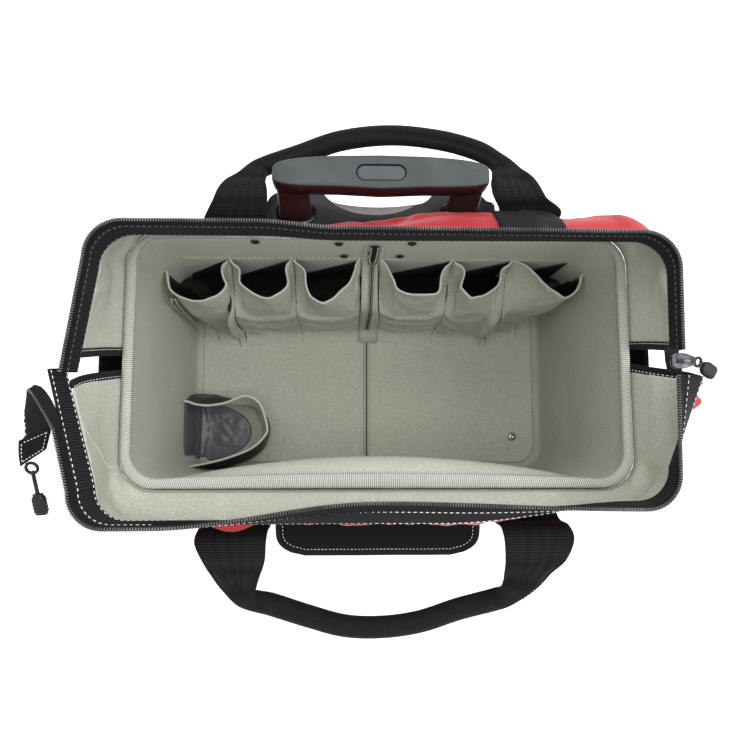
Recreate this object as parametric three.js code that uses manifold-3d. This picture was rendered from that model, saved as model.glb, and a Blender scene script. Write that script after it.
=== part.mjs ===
import * as THREE from "three";
import Module from "manifold-3d";

// Rolling tool bag, millimetres, +Z up, mouth open, trolley side toward +Y.

// body
const BODY_HALF_LENGTH = 232;
const BODY_FRONT = 116;
const BODY_BACK = 122;
const BODY_CORNER = 32;
const SHELL_BOTTOM = 24.4;
const SHELL_TOP = 309;
const SHELL_WALL = 1.8;
const LINING_GAP = 0.4;
const LINING_WALL = 4.8;
const FLOOR_BOARD = 7.4;
const FRONT_PAD = 24;
const CORNER_STEPS = 4;
const FRONT_STEPS = 10;
const GAP = 0.4;

// mouth
const FLAP_THICKNESS = 2.2;
const BINDING_INSET = 3.8;
const BINDING_WIDTH = 9;
const BACK_BINDING_WIDTH = 4.6;
const BINDING_HEIGHT = 7.6;
const RIM_THICKNESS = 3.6;
const NOTCH_BINDING_WIDTH = 6;

// webbing
const WEB_WIDTH = 56;
const WEB_THICKNESS = 2.6;
const SEWN_GAP = 2;
const GRIP_ROLL = 18;

// trolley
const TUBE_X = 77;
const TUBE_Y = 142.5;
const OUTER_TUBE = { radius: 11, bore: 9.7, bottom: 40, top: 286.6 };
const MIDDLE_TUBE = { radius: 9.3, bore: 7.9, bottom: 43, top: 303.4 };
const INNER_TUBE = { radius: 7.5, bore: 6.2, bottom: 46, top: 306.4 };
const BEZEL_HALF_LENGTH = 115;
const SLEEVE_WALL = 2;
const BEZEL_BOTTOM = 287;
const BEZEL_TOP = 302.6;
const GRIP_BOTTOM = 340;
const GRIP_TOP = 361;
const LEG_BOTTOM = 306.8;
const COLLAR = { half: 19, reach: 12.5, top: 306.2 };
const SCOOP = { x: -3, y: 171, z: 352.6, half: 100, reach: 58.3 };

// wheels
const WHEEL_RADIUS = 30;
const WHEEL_WIDTH = 26;
const WHEEL_X = 186;
const WHEEL_Y = 156;
const HUB_RADIUS = 19;
const AXLE_RADIUS = 4;

const COLOURS = {
  redCloth: { color: 0xc22a35, roughness: 0.85, metalness: 0 },
  greyLining: { color: 0x98988a, roughness: 0.9, metalness: 0 },
  paleBinding: { color: 0xb9bab0, roughness: 0.85, metalness: 0 },
  blackCloth: { color: 0x1d1d20, roughness: 0.9, metalness: 0 },
  blackWebbing: { color: 0x26262a, roughness: 0.85, metalness: 0 },
  greyCoated: { color: 0x5f6163, roughness: 0.6, metalness: 0 },
  darkPlastic: { color: 0x2a2b2d, roughness: 0.5, metalness: 0 },
  greyPlastic: { color: 0x7a8082, roughness: 0.45, metalness: 0 },
  rubber: { color: 0x151515, roughness: 0.8, metalness: 0 },
  steel: { color: 0xb8babc, roughness: 0.3, metalness: 1 },
};

const wasm = await Module();
wasm.setup();

// solids

function solidGeometry(points, triangles) {
  let volume = 0;
  for (const [a, b, c] of triangles) {
    volume += points[a].dot(new THREE.Vector3().crossVectors(points[b], points[c]));
  }
  const index = [];
  for (const [a, b, c] of triangles) {
    index.push(a, volume < 0 ? c : b, volume < 0 ? b : c);
  }
  const geometry = new THREE.BufferGeometry();
  const flat = points.flatMap((p) => [p.x, p.y, p.z]);
  geometry.setAttribute("position", new THREE.Float32BufferAttribute(flat, 3));
  geometry.setIndex(index);
  return geometry;
}

// A closed body over a row of sections, each the same count of points round a loop.
function skin(sections, { ring = false, fan = false } = {}) {
  const count = sections[0].length;
  const points = sections.flat();
  const triangles = [];
  const last = ring ? sections.length : sections.length - 1;
  for (let i = 0; i < last; i += 1) {
    const here = i * count;
    const next = ((i + 1) % sections.length) * count;
    for (let j = 0; j < count; j += 1) {
      const k = (j + 1) % count;
      triangles.push([here + j, next + j, next + k]);
      triangles.push([here + j, next + k, here + k]);
    }
  }
  if (!ring) {
    for (const [start, facing] of [[0, 1], [(sections.length - 1) * count, -1]]) {
      const cap = [];
      if (fan) {
        const middle = new THREE.Vector3();
        for (let j = 0; j < count; j += 1) middle.add(points[start + j]);
        points.push(middle.divideScalar(count));
        for (let j = 0; j < count; j += 1) {
          cap.push([points.length - 1, start + j, start + ((j + 1) % count)]);
        }
      } else {
        for (let j = 0; j < count / 2 - 1; j += 1) {
          const far = count - 1 - j;
          cap.push([start + j, start + j + 1, start + far]);
          cap.push([start + j + 1, start + far - 1, start + far]);
        }
      }
      for (const [a, b, c] of cap) triangles.push(facing > 0 ? [a, b, c] : [a, c, b]);
    }
  }
  return solidGeometry(points, triangles);
}

function toSolid(geometry) {
  const lookup = new Map();
  const vertices = [];
  const triVerts = [];
  const position = geometry.getAttribute("position");
  const count = geometry.index ? geometry.index.count : position.count;
  for (let i = 0; i < count; i += 1) {
    const v = geometry.index ? geometry.index.getX(i) : i;
    const xyz = [position.getX(v), position.getY(v), position.getZ(v)];
    const key = xyz.map((n) => Math.round(n * 1e4)).join(",");
    if (!lookup.has(key)) {
      lookup.set(key, vertices.length / 3);
      vertices.push(...xyz);
    }
    triVerts.push(lookup.get(key));
  }
  const kept = [];
  for (let i = 0; i < triVerts.length; i += 3) {
    const [a, b, c] = triVerts.slice(i, i + 3);
    if (a !== b && b !== c && a !== c) kept.push(a, b, c);
  }
  return new wasm.Manifold(
    new wasm.Mesh({
      numProp: 3,
      vertProperties: new Float32Array(vertices),
      triVerts: new Uint32Array(kept),
    }),
  );
}

function toGeometry(solid) {
  const mesh = solid.getMesh();
  const geometry = new THREE.BufferGeometry();
  const flat = [];
  for (let i = 0; i < mesh.vertProperties.length; i += mesh.numProp) {
    flat.push(...mesh.vertProperties.slice(i, i + 3));
  }
  geometry.setAttribute("position", new THREE.Float32BufferAttribute(flat, 3));
  geometry.setIndex(Array.from(mesh.triVerts));
  return geometry;
}

function cut(geometry, ...tools) {
  let solid = toSolid(geometry);
  for (const tool of tools) solid = solid.subtract(toSolid(tool));
  return toGeometry(solid);
}

function join(geometry, ...others) {
  let solid = toSolid(geometry);
  for (const other of others) solid = solid.add(toSolid(other));
  return toGeometry(solid);
}

function within(geometry, bound) {
  return toGeometry(toSolid(geometry).intersect(toSolid(bound)));
}

function at(x, y, z) {
  return new THREE.Vector3(x, y, z);
}

function lerp(a, b, f) {
  return a + (b - a) * f;
}

function block(x0, x1, y0, y1, z0, z1) {
  const geometry = new THREE.BoxGeometry(x1 - x0, y1 - y0, z1 - z0);
  return geometry.translate((x0 + x1) / 2, (y0 + y1) / 2, (z0 + z1) / 2);
}

// A turned piece about the Z axis, from rows of radius and height.
function turned(rows, sides) {
  const profile = rows.map(([r, z]) => new THREE.Vector2(r, z));
  return new THREE.LatheGeometry(profile, sides).rotateX(Math.PI / 2);
}

function rod(radius, z0, z1, sides) {
  return turned([[0, z0], [radius, z0], [radius, z1], [0, z1]], sides);
}

function plate(shape, z0, z1, curveSegments) {
  const geometry = new THREE.ExtrudeGeometry(shape, {
    depth: z1 - z0,
    bevelEnabled: false,
    curveSegments,
  });
  return geometry.translate(0, 0, z0);
}

// body outline at one height, drawn in all round by the inset, the front side pushed in by the pad
function bodyOutline(inset, corner, z, pad) {
  const loop = [];
  const turn = (cx, cy, from) => {
    for (let i = 0; i <= CORNER_STEPS; i += 1) {
      const angle = from + ((Math.PI / 2) * i) / CORNER_STEPS;
      loop.push(at(cx + corner * Math.cos(angle), cy + corner * Math.sin(angle), z));
    }
  };
  const ex = BODY_HALF_LENGTH - inset - corner;
  const front = inset - BODY_FRONT;
  const back = BODY_BACK - inset;
  turn(ex, front + corner, -Math.PI / 2);
  turn(ex, back - corner, 0);
  turn(-ex, back - corner, Math.PI / 2);
  turn(-ex, front + corner, Math.PI);
  for (let i = 1; i < FRONT_STEPS; i += 1) {
    const f = i / FRONT_STEPS;
    const swell = Math.sin(Math.PI * f) ** 0.75;
    loop.push(at(lerp(-ex, ex, f), front + pad * swell, z));
  }
  return loop;
}

// how far the front pad swells inward with height
const PAD_ROWS = [
  { z: 34, share: 0.1 },
  { z: 110, share: 0.3 },
  { z: 190, share: 0.55 },
  { z: 250, share: 0.85 },
  { z: 284, share: 1 },
  { z: 302, share: 0.55 },
  { z: SHELL_TOP, share: 0.22 },
];

function outerShell() {
  const rows = [
    { z: SHELL_BOTTOM, inset: 4 },
    { z: SHELL_BOTTOM + 9, inset: 0 },
    { z: SHELL_TOP, inset: 0 },
  ];
  const layer = (inset, z) => bodyOutline(inset, BODY_CORNER - inset * 0.6, z, 0);
  const outside = rows.map((row) => layer(row.inset, row.z));
  const inside = rows.map((row, i) => {
    const z = row.z + (i === 0 ? SHELL_WALL : i === rows.length - 1 ? 5 : 0);
    return layer(row.inset + SHELL_WALL, z);
  });
  return cut(skin(outside, { fan: true }), skin(inside, { fan: true }));
}

function liningLayer(inset, z, pad) {
  const tuck = Math.max(0, SHELL_BOTTOM + 9 - z) * 0.62;
  return bodyOutline(inset + tuck, BODY_CORNER - inset * 0.6, z, pad);
}

// the hollow inside the lining, drawn in by a clearance
function hollow(clearance) {
  const inset = SHELL_WALL + LINING_GAP + LINING_WALL + clearance;
  const floor = SHELL_BOTTOM + SHELL_WALL + LINING_GAP + FLOOR_BOARD + clearance;
  const layers = [liningLayer(inset, floor, 0)];
  for (const row of PAD_ROWS) {
    const lift = row.z === SHELL_TOP ? 4 : FLOOR_BOARD + 0.8 - (row.z > 60 ? 7 : 0);
    layers.push(liningLayer(inset, row.z + lift, row.share * FRONT_PAD));
  }
  return skin(layers, { fan: true });
}

function innerLining() {
  const inset = SHELL_WALL + LINING_GAP;
  const layers = [liningLayer(inset, SHELL_BOTTOM + inset, 0)];
  for (const row of PAD_ROWS) {
    layers.push(liningLayer(inset, row.z + 0.3, row.share * FRONT_PAD));
  }
  return cut(skin(layers, { fan: true }), hollow(0));
}

// pale ribbed binding along the wall top, between a rail over the shell and one over the padded wall
function wallBinding() {
  const z0 = SHELL_TOP + 0.3 + GAP;
  const z1 = z0 + BINDING_HEIGHT;
  const rail = (width, pad) => {
    const inset = BINDING_INSET + width;
    return bodyOutline(inset, BODY_CORNER - inset * 0.6, 0, pad);
  };
  const outside = rail(0, 0);
  const inside = rail(BINDING_WIDTH, FRONT_PAD * 0.22);
  const narrow = rail(BACK_BINDING_WIDTH, 0);
  const backFrom = CORNER_STEPS + 1;
  const backTo = 3 * CORNER_STEPS + 2;
  const rows = [
    { share: 0, z: z0 + 1.6 },
    { share: 0, z: z1 - 2 },
    { share: 0.2, z: z1 },
    { share: 0.8, z: z1 },
    { share: 1, z: z1 - 2 },
    { share: 1, z: z0 + 1.6 },
    { share: 0.85, z: z0 },
    { share: 0.15, z: z0 },
  ];
  const sections = outside.map((edge, i) => {
    const intoBack = Math.min(i - backFrom, backTo - i) / CORNER_STEPS;
    const inner = inside[i].clone().lerp(narrow[i], THREE.MathUtils.clamp(intoBack, 0, 1));
    return rows.map((row) => edge.clone().lerp(inner, row.share).setZ(row.z));
  });
  return skin(sections, { ring: true });
}

// mouth: one row a height for each half of the U. left, right are the sides at the corners, edgeLeft, edgeMid
// and edgeRight the distance of the long edge from the middle plane, from and to the shares of its run between
// which edgeLeft passes into edgeMid, the end columns the corner of the notch.
const MOUTH_ROWS = {
  back: [
    { z: 310, left: -231, right: 231, edgeLeft: 120.9, edgeMid: 120.9, edgeRight: 120.9,
      from: 0, to: 0.3, corner: 31,
      endLeftX: -231, endLeftY: 13.5, endRightX: 231, endRightY: 20.5 },
    { z: 338, left: -235, right: 235, edgeLeft: 117, edgeMid: 130, edgeRight: 129,
      from: 0.4, to: 0.62, corner: 33,
      endLeftX: -235, endLeftY: 10, endRightX: 235, endRightY: 17 },
    { z: 364, left: -231, right: 236, edgeLeft: 108, edgeMid: 119, edgeRight: 118,
      from: 0.4, to: 0.62, corner: 32,
      endLeftX: -237, endLeftY: 6, endRightX: 235, endRightY: 13 },
    { z: 384, left: -227, right: 232, edgeLeft: 95, edgeMid: 92, edgeRight: 93,
      from: 0.25, to: 0.41, corner: 29,
      endLeftX: -237, endLeftY: 3, endRightX: 232, endRightY: 10 },
  ],
  front: [
    { z: 310, left: -231, right: 231, edgeLeft: 114.9, edgeMid: 114.9, edgeRight: 114.9,
      from: 0, to: 0.3, corner: 31,
      endLeftX: -231, endLeftY: -14.5, endRightX: 231, endRightY: -7.8 },
    { z: 338, left: -232, right: 233, edgeLeft: 133, edgeMid: 135, edgeRight: 122,
      from: 0, to: 0.45, corner: 32,
      endLeftX: -237, endLeftY: -19, endRightX: 240, endRightY: -14 },
    { z: 364, left: -226, right: 229, edgeLeft: 136, edgeMid: 138, edgeRight: 120,
      from: 0, to: 0.45, corner: 30,
      endLeftX: -242, endLeftY: -24, endRightX: 253, endRightY: -20 },
    { z: 384, left: -222, right: 226, edgeLeft: 131, edgeMid: 133, edgeRight: 117,
      from: 0, to: 0.45, corner: 27,
      endLeftX: -243, endLeftY: -29.5, endRightX: 254, endRightY: -25 },
  ],
};

// zipper band above each half, same columns; its ends close the notch at the top
const ZIP_ROWS = {
  back: [
    { z: 384, left: -227, right: 232, edgeLeft: 95, edgeMid: 92, edgeRight: 93,
      from: 0.25, to: 0.41, corner: 29,
      endLeftX: -240, endLeftY: -16, endRightX: 231, endRightY: 2 },
    { z: 404, left: -232, right: 233.5, edgeLeft: 101, edgeMid: 96, edgeRight: 95,
      from: 0.25, to: 0.41, corner: 28,
      endLeftX: -245, endLeftY: -18, endRightX: 232, endRightY: 1 },
  ],
  front: [
    { z: 384, left: -222, right: 226, edgeLeft: 131, edgeMid: 133, edgeRight: 117,
      from: 0, to: 0.45, corner: 27,
      endLeftX: -249, endLeftY: -12, endRightX: 257, endRightY: -18 },
    { z: 404, left: -236, right: 225, edgeLeft: 134, edgeMid: 115, edgeRight: 121,
      from: 0.08, to: 0.5, corner: 27,
      endLeftX: -260, endLeftY: -14, endRightX: 226, endRightY: -18 },
  ],
};

const END_STEPS = 3;
const EDGE_STEPS = 8;

function edgeAt(row, x) {
  const f = (x - row.left - row.corner) / (row.right - row.left - 2 * row.corner);
  const near = THREE.MathUtils.clamp((f - row.from) / (row.to - row.from), 0, 1);
  const far = THREE.MathUtils.clamp((f - row.to) / (1 - row.to), 0, 1);
  return lerp(lerp(row.edgeLeft, row.edgeMid, near), row.edgeRight, far);
}

// stations along one half of the mouth at one height, each with its outward direction
function mouthPath(row, half) {
  const side = half === "back" ? 1 : -1;
  const stations = [];
  const ends = {
    left: { x: row.endLeftX, y: row.endLeftY, side: row.left, edge: row.edgeLeft, sign: -1 },
    right: { x: row.endRightX, y: row.endRightY, side: row.right, edge: row.edgeRight, sign: 1 },
  };
  const cornerRun = (end) => {
    const run = [];
    const straightTo = side * (end.edge - row.corner);
    for (let i = 0; i < END_STEPS; i += 1) {
      const f = i / END_STEPS;
      run.push({ x: lerp(end.x, end.side, f), y: lerp(end.y, straightTo, f), nx: end.sign, ny: 0 });
    }
    for (let i = 0; i <= CORNER_STEPS; i += 1) {
      const angle = ((Math.PI / 2) * i) / CORNER_STEPS;
      const nx = end.sign * Math.cos(angle);
      const ny = side * Math.sin(angle);
      const cx = end.side - end.sign * row.corner;
      run.push({ x: cx + row.corner * nx, y: straightTo + row.corner * ny, nx, ny });
    }
    return run;
  };
  stations.push(...cornerRun(ends.left));
  for (let i = 1; i < EDGE_STEPS; i += 1) {
    const x = lerp(row.left + row.corner, row.right - row.corner, i / EDGE_STEPS);
    stations.push({ x, y: side * edgeAt(row, x), nx: 0, ny: side });
  }
  stations.push(...cornerRun(ends.right).reverse());
  return stations;
}

function mouthSheet(rows, half, thickness, lift) {
  const paths = rows.map((row) => mouthPath(row, half));
  const sections = paths[0].map((_, i) => {
    const out = [];
    const back = [];
    rows.forEach((row, k) => {
      const s = paths[k][i];
      const t = thickness / 2;
      const z = row.z + (k === 0 ? lift : 0);
      out.push(at(s.x + s.nx * t, s.y + s.ny * t, z));
      back.unshift(at(s.x - s.nx * t, s.y - s.ny * t, z));
    });
    return [...out, ...back];
  });
  return skin(sections);
}

function mouthFlap(half) {
  return mouthSheet(MOUTH_ROWS[half], half, FLAP_THICKNESS, 0);
}

// zipper tape, teeth and ribbon along the top edge of a flap
function zipRim(half) {
  return mouthSheet(ZIP_ROWS[half], half, RIM_THICKNESS, GAP);
}

// black tape bound over one slanting edge of the V notch
function notchBinding(half, end) {
  const toward = half === "back" ? -1 : 1;
  const out = end === "left" ? -1 : 1;
  const sections = MOUTH_ROWS[half].map((row, i) => {
    const x = end === "left" ? row.endLeftX : row.endRightX;
    const y0 = (end === "left" ? row.endLeftY : row.endRightY) + toward * GAP;
    const y1 = y0 + toward * NOTCH_BINDING_WIDTH;
    const z = row.z + (i === 0 ? 0.6 : 0);
    const inner = x - out * 0.8;
    const outer = x + out * 2.6;
    return [at(inner, y0, z), at(outer, y0, z), at(outer, y1, z), at(inner, y1, z)];
  });
  return skin(sections);
}

// A width direction carried along a line without twisting.
function carried(alongs, start) {
  const across = start.clone();
  return alongs.map((along) => across.addScaledVector(along, -across.dot(along)).normalize().clone());
}

// A swept strip: rows give the middle line, width and thickness; the width directions of both ends are carried
// in, or kept as they start by the share flat.
function strip(rows, firstAcross, lastAcross) {
  const line = rows.map((row) => at(row.x, row.y, row.z));
  const alongs = line.map((point, i) => {
    const ahead = line[Math.min(i + 1, line.length - 1)];
    return ahead.clone().sub(line[Math.max(i - 1, 0)]).normalize();
  });
  const fromFirst = carried(alongs, firstAcross);
  const fromLast = carried([...alongs].reverse(), lastAcross).reverse();
  const sections = rows.map((row, i) => {
    const early = i < rows.length / 2;
    const across = (early ? fromFirst[i] : fromLast[i]).clone();
    across.lerp(early ? firstAcross : lastAcross, row.flat ?? 0).normalize();
    const normal = new THREE.Vector3().crossVectors(across, alongs[i]).normalize();
    const w = row.width / 2;
    const t = row.thick / 2;
    const c = Math.min(t, w) * 0.55;
    const corners = [
      [-w, -t + c], [-w + c, -t], [w - c, -t], [w, -t + c],
      [w, t - c], [w - c, t], [-w + c, t], [-w, t - c],
    ];
    return corners.map(([a, b]) => line[i].clone()
      .addScaledVector(across, a)
      .addScaledVector(normal, b));
  });
  return skin(sections);
}

function flapFace(half, x, z) {
  const rows = MOUTH_ROWS[half];
  const above = Math.max(1, rows.findIndex((row) => row.z >= z));
  const hi = rows[above];
  const lo = rows[above - 1];
  const f = (z - lo.z) / (hi.z - lo.z);
  return lerp(edgeAt(lo, x), edgeAt(hi, x), f) + FLAP_THICKNESS / 2;
}

// handles, from the sewn foot of a leg to the middle of the grip: reach is the distance from the handle's own
// middle, shift moves that middle along X, left and right are each leg's distance from the body's middle plane
const HANDLE_ROWS = {
  front: [
    { reach: 122, shift: 2, left: null, right: null, z: 318, width: WEB_WIDTH, thick: WEB_THICKNESS, flat: 1 },
    { reach: 122, shift: 2, left: null, right: null, z: 338, width: WEB_WIDTH, thick: WEB_THICKNESS, flat: 1 },
    { reach: 122, shift: 2, left: null, right: null, z: 362, width: WEB_WIDTH, thick: WEB_THICKNESS, flat: 1 },
    { reach: 122, shift: 2, left: 149, right: 147, z: 373, width: WEB_WIDTH, thick: WEB_THICKNESS, flat: 1 },
    { reach: 119.5, shift: 2, left: 163, right: 163, z: 371, width: 49, thick: 3, flat: 1 },
    { reach: 118, shift: 0, left: 177, right: 177, z: 358, width: 39, thick: 4.5, flat: 1 },
    { reach: 115.5, shift: -1, left: 187, right: 187, z: 349, width: 30, thick: 9, flat: 0.7 },
    { reach: 109, shift: -3, left: 198, right: 197, z: 341, width: GRIP_ROLL, thick: GRIP_ROLL - 4, flat: 0.3 },
    { reach: 95, shift: 3, left: 206, right: 203, z: 331, width: GRIP_ROLL, thick: GRIP_ROLL - 2, flat: 0 },
    { reach: 64, shift: 3, left: 218, right: 213, z: 323, width: GRIP_ROLL, thick: GRIP_ROLL - 2, flat: 0 },
    { reach: 32, shift: 2, left: 227, right: 224, z: 320, width: GRIP_ROLL, thick: GRIP_ROLL - 2, flat: 0 },
    { reach: 0, shift: 2, left: 228.5, right: 228.5, z: 319, width: GRIP_ROLL, thick: GRIP_ROLL - 2, flat: 0 },
  ],
  back: [
    { reach: 131, shift: 3, left: null, right: null, z: 318, width: WEB_WIDTH, thick: WEB_THICKNESS, flat: 1 },
    { reach: 131, shift: 3, left: null, right: null, z: 338, width: WEB_WIDTH, thick: WEB_THICKNESS, flat: 1 },
    { reach: 121, shift: 0, left: 138, right: 142, z: 352, width: 46, thick: WEB_THICKNESS, flat: 1 },
    { reach: 118, shift: -1, left: 149, right: 155, z: 349, width: 40, thick: 3.6, flat: 1 },
    { reach: 114.5, shift: -0.5, left: 162, right: 169, z: 337, width: 27, thick: 8, flat: 0.8 },
    { reach: 108, shift: 1, left: 176, right: 183, z: 326, width: GRIP_ROLL, thick: GRIP_ROLL - 4, flat: 0.3 },
    { reach: 83, shift: 9, left: 191, right: 197, z: 320, width: GRIP_ROLL, thick: GRIP_ROLL - 2, flat: 0 },
    { reach: 46, shift: 10, left: 206, right: 208, z: 318, width: GRIP_ROLL, thick: GRIP_ROLL - 2, flat: 0 },
    { reach: 0, shift: 10, left: 212, right: 212, z: 318, width: GRIP_ROLL, thick: GRIP_ROLL - 2, flat: 0 },
  ],
};

function handle(half) {
  const side = half === "back" ? 1 : -1;
  const leg = (end) => HANDLE_ROWS[half].map((row) => {
    const x = row.shift + (end === "left" ? -1 : 1) * row.reach;
    const faces = [-0.5, 0, 0.5].map((k) => flapFace(half, x + k * row.width, row.z));
    const sewn = () => Math.max(...faces) + SEWN_GAP + row.thick / 2;
    return { ...row, x, y: side * (row[end] ?? sewn()) };
  });
  const rows = [...leg("left"), ...leg("right").slice(0, -1).reverse()];
  return strip(rows, at(1, 0, 0), at(-1, 0, 0));
}

// A pocket that swells from a wall: local X along the wall, -Y outward, open at the top and toward the wall.
function pocket({ width, levels, wall, square }) {
  const steps = 10;
  const loop = (row, shrink, backTo) => {
    const half = (row.width ?? width) / 2 - shrink;
    const swell = row.swell - shrink;
    const power = 2 / (row.square ?? square);
    const skew = row.skew ?? 0;
    const points = [];
    for (let i = 0; i <= steps; i += 1) {
      const angle = (Math.PI * i) / steps;
      const c = Math.cos(angle);
      const s = Math.sin(angle);
      const u = half * Math.sign(c) * Math.abs(c) ** power;
      const out = Math.abs(s) ** power;
      points.push(at(u + skew * out, -swell * out, row.z));
    }
    points.push(at(-half, backTo, row.z), at(half, backTo, row.z));
    return points;
  };
  const outside = levels.map((row) => loop(row, 0, 0.01).slice(0, steps + 1));
  const inside = levels.map((row, i) => {
    const lift = i === 0 ? wall : i === levels.length - 1 ? 4 : 0;
    return loop({ ...row, z: row.z + lift }, wall, 6);
  });
  return cut(skin(outside, { fan: true }), skin(inside, { fan: true }));
}

// tool pockets on the back wall, left to right: mouth and low are how far each stands out from the wall at the
// lip and below, skew how far along the wall the lip's deepest point lies from its middle
const TOOL_POCKETS = [
  { left: -207, right: -145, mouth: 43, low: 54, skew: -5, top: 230 },
  { left: -143, right: -79, mouth: 44, low: 46, skew: 0, top: 234 },
  { left: -77, right: -14, mouth: 43, low: 44, skew: -5, top: 234 },
  { left: 12, right: 77, mouth: 43, low: 44, skew: 0, top: 234 },
  { left: 79, right: 138, mouth: 42, low: 48, skew: -2, top: 232 },
  { left: 140, right: 206, mouth: 41, low: 48, skew: 7, top: 230 },
];
const TOOL_POCKET_BOTTOM = 38;

function toolPocket(row) {
  const geometry = pocket({
    width: row.right - row.left,
    wall: 1.8,
    square: 2.5,
    levels: [
      { z: TOOL_POCKET_BOTTOM, swell: row.low * 0.9, square: 3.6 },
      { z: TOOL_POCKET_BOTTOM + 40, swell: row.low, square: 3.6 },
      { z: TOOL_POCKET_BOTTOM + 110, swell: row.low * 0.98, square: 3.2 },
      { z: row.top, swell: row.mouth, skew: row.skew },
    ],
  });
  const wallY = BODY_BACK - SHELL_WALL - LINING_GAP - LINING_WALL;
  return within(geometry.translate((row.left + row.right) / 2, wallY, 0), hollow(GAP));
}

function cornerPocket() {
  const geometry = pocket({
    width: 96,
    wall: 1.8,
    square: 2.2,
    levels: [
      { z: 36.2, swell: 62 },
      { z: 60, swell: 86 },
      { z: 122, swell: 92 },
    ],
  });
  const wallX = -(BODY_HALF_LENGTH - SHELL_WALL - LINING_GAP - LINING_WALL);
  const placed = geometry.rotateZ(THREE.MathUtils.degToRad(97)).translate(wallX, -62, 0);
  return within(placed, hollow(GAP));
}

function frontPocket() {
  const geometry = pocket({
    width: 196,
    wall: 2,
    square: 7,
    levels: [
      { z: 56, swell: 40 },
      { z: 66, swell: 52 },
      { z: 226, swell: 54 },
    ],
  });
  return geometry.translate(0, -(BODY_FRONT + GAP), 0);
}

function frontPocketFlap() {
  const y0 = -(BODY_FRONT + GAP);
  const rows = [
    { reach: 0, drop: 0, half: 99 },
    { reach: 14, drop: 0.6, half: 99 },
    { reach: 44, drop: 4, half: 99 },
    { reach: 56, drop: 8, half: 97 },
    { reach: 63, drop: 12, half: 88 },
    { reach: 66.5, drop: 15, half: 77 },
  ];
  const sections = rows.map((row) => {
    const y = y0 - row.reach;
    const z = 248 - row.drop;
    const x0 = 2 - row.half;
    const x1 = 2 + row.half;
    return [at(x0, y, z), at(x1, y, z), at(x1, y, z + 3), at(x0, y, z + 3)];
  });
  return skin(sections);
}

function sidePocket(end) {
  const geometry = pocket({
    width: 150,
    wall: 2,
    square: 4,
    levels: [
      { z: 56, swell: 15 },
      { z: 74, swell: 24 },
      { z: 288, swell: end === "left" ? 30 : 28 },
    ],
  });
  const x = BODY_HALF_LENGTH + GAP;
  return end === "right"
    ? geometry.rotateZ(Math.PI / 2).translate(x, 0, 0)
    : geometry.rotateZ(-Math.PI / 2).translate(-x, 0, 0);
}

// zipper tail past the left end of the mouth and its folded end tab: rows run along the tape, edge to edge
const TAIL_ROWS = [
  { chain: [-259, -27, 401], hem: [-257, -33, 390] },
  { chain: [-267, -28, 398], hem: [-268, -35, 388] },
  { chain: [-272, -31, 394], hem: [-277, -38, 385] },
  { chain: [-264, -41, 392], hem: [-280, -50, 381] },
  { chain: [-256, -54, 389], hem: [-281, -63, 376] },
];
const TAB_ROWS = [
  { chain: [-258.5, -59.5, 386], hem: [-284, -71, 373] },
  { chain: [-265, -69, 380], hem: [-290, -82, 367] },
  { chain: [-268, -77, 375], hem: [-293, -91, 362] },
];

function ribbon(rows, thickness) {
  const chains = rows.map((row) => at(...row.chain));
  const hems = rows.map((row) => at(...row.hem));
  const sections = rows.map((row, i) => {
    const ahead = Math.min(i + 1, rows.length - 1);
    const behind = Math.max(i - 1, 0);
    const along = chains[ahead].clone().add(hems[ahead]).sub(chains[behind]).sub(hems[behind]);
    const across = hems[i].clone().sub(chains[i]);
    const half = across.cross(along).setLength(thickness / 2);
    return [
      chains[i].clone().add(half),
      hems[i].clone().add(half),
      hems[i].clone().sub(half),
      chains[i].clone().sub(half),
    ];
  });
  return skin(sections);
}

function zipPull(start, end, radius) {
  const rows = [
    { f: 0, width: radius * 1.2, thick: radius * 0.8 },
    { f: 0.35, width: radius * 1.1, thick: radius * 0.8 },
    { f: 0.5, width: radius * 2, thick: radius * 1.3 },
    { f: 0.9, width: radius * 2, thick: radius * 1.3 },
    { f: 1, width: radius * 1.3, thick: radius * 0.8 },
  ].map((row) => ({
    x: lerp(start.x, end.x, row.f),
    y: lerp(start.y, end.y, row.f),
    z: lerp(start.z, end.z, row.f),
    width: row.width,
    thick: row.thick,
  }));
  return strip(rows, at(1, 1, 0), at(1, 1, 0));
}

// trolley

function stadium(half, reach, y) {
  const shape = new THREE.Shape();
  shape.absarc(half - reach, y, reach, -Math.PI / 2, Math.PI / 2, false);
  shape.absarc(-half + reach, y, reach, Math.PI / 2, -Math.PI / 2, false);
  shape.closePath();
  return shape;
}

// bezel seen from above: slanting left end, stepped right end, finger notch at the back
function bezelShape(grow, away) {
  const shape = new THREE.Shape();
  const h = BEZEL_HALF_LENGTH + grow;
  const y0 = BODY_BACK + GAP + away;
  const y1 = 163 + grow;
  const notch = 151 + grow;
  const side = 52 - grow;
  shape.moveTo(-h, y0);
  shape.lineTo(h - 4, y0);
  shape.lineTo(h - 4, 150 + grow);
  shape.quadraticCurveTo(h - 4, 155 + grow, h - 12, 156 + grow);
  shape.quadraticCurveTo(h - 17, y1, h - 26, y1);
  shape.lineTo(side, y1);
  shape.quadraticCurveTo(side - 5, notch + 2, side - 16, notch + 1);
  shape.quadraticCurveTo(0, notch - 3, 16 - side, notch + 1);
  shape.quadraticCurveTo(5 - side, notch + 2, -side, y1);
  shape.lineTo(-h + 26, y1);
  shape.quadraticCurveTo(-h + 15, y1, -h + 11, 154 + grow);
  shape.lineTo(-h, 134 + grow);
  shape.closePath();
  return shape;
}

function tubeHole(radius) {
  return [-1, 1].map((side) =>
    rod(radius, 0, 400, 16).translate(side * TUBE_X, TUBE_Y, 0));
}

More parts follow.
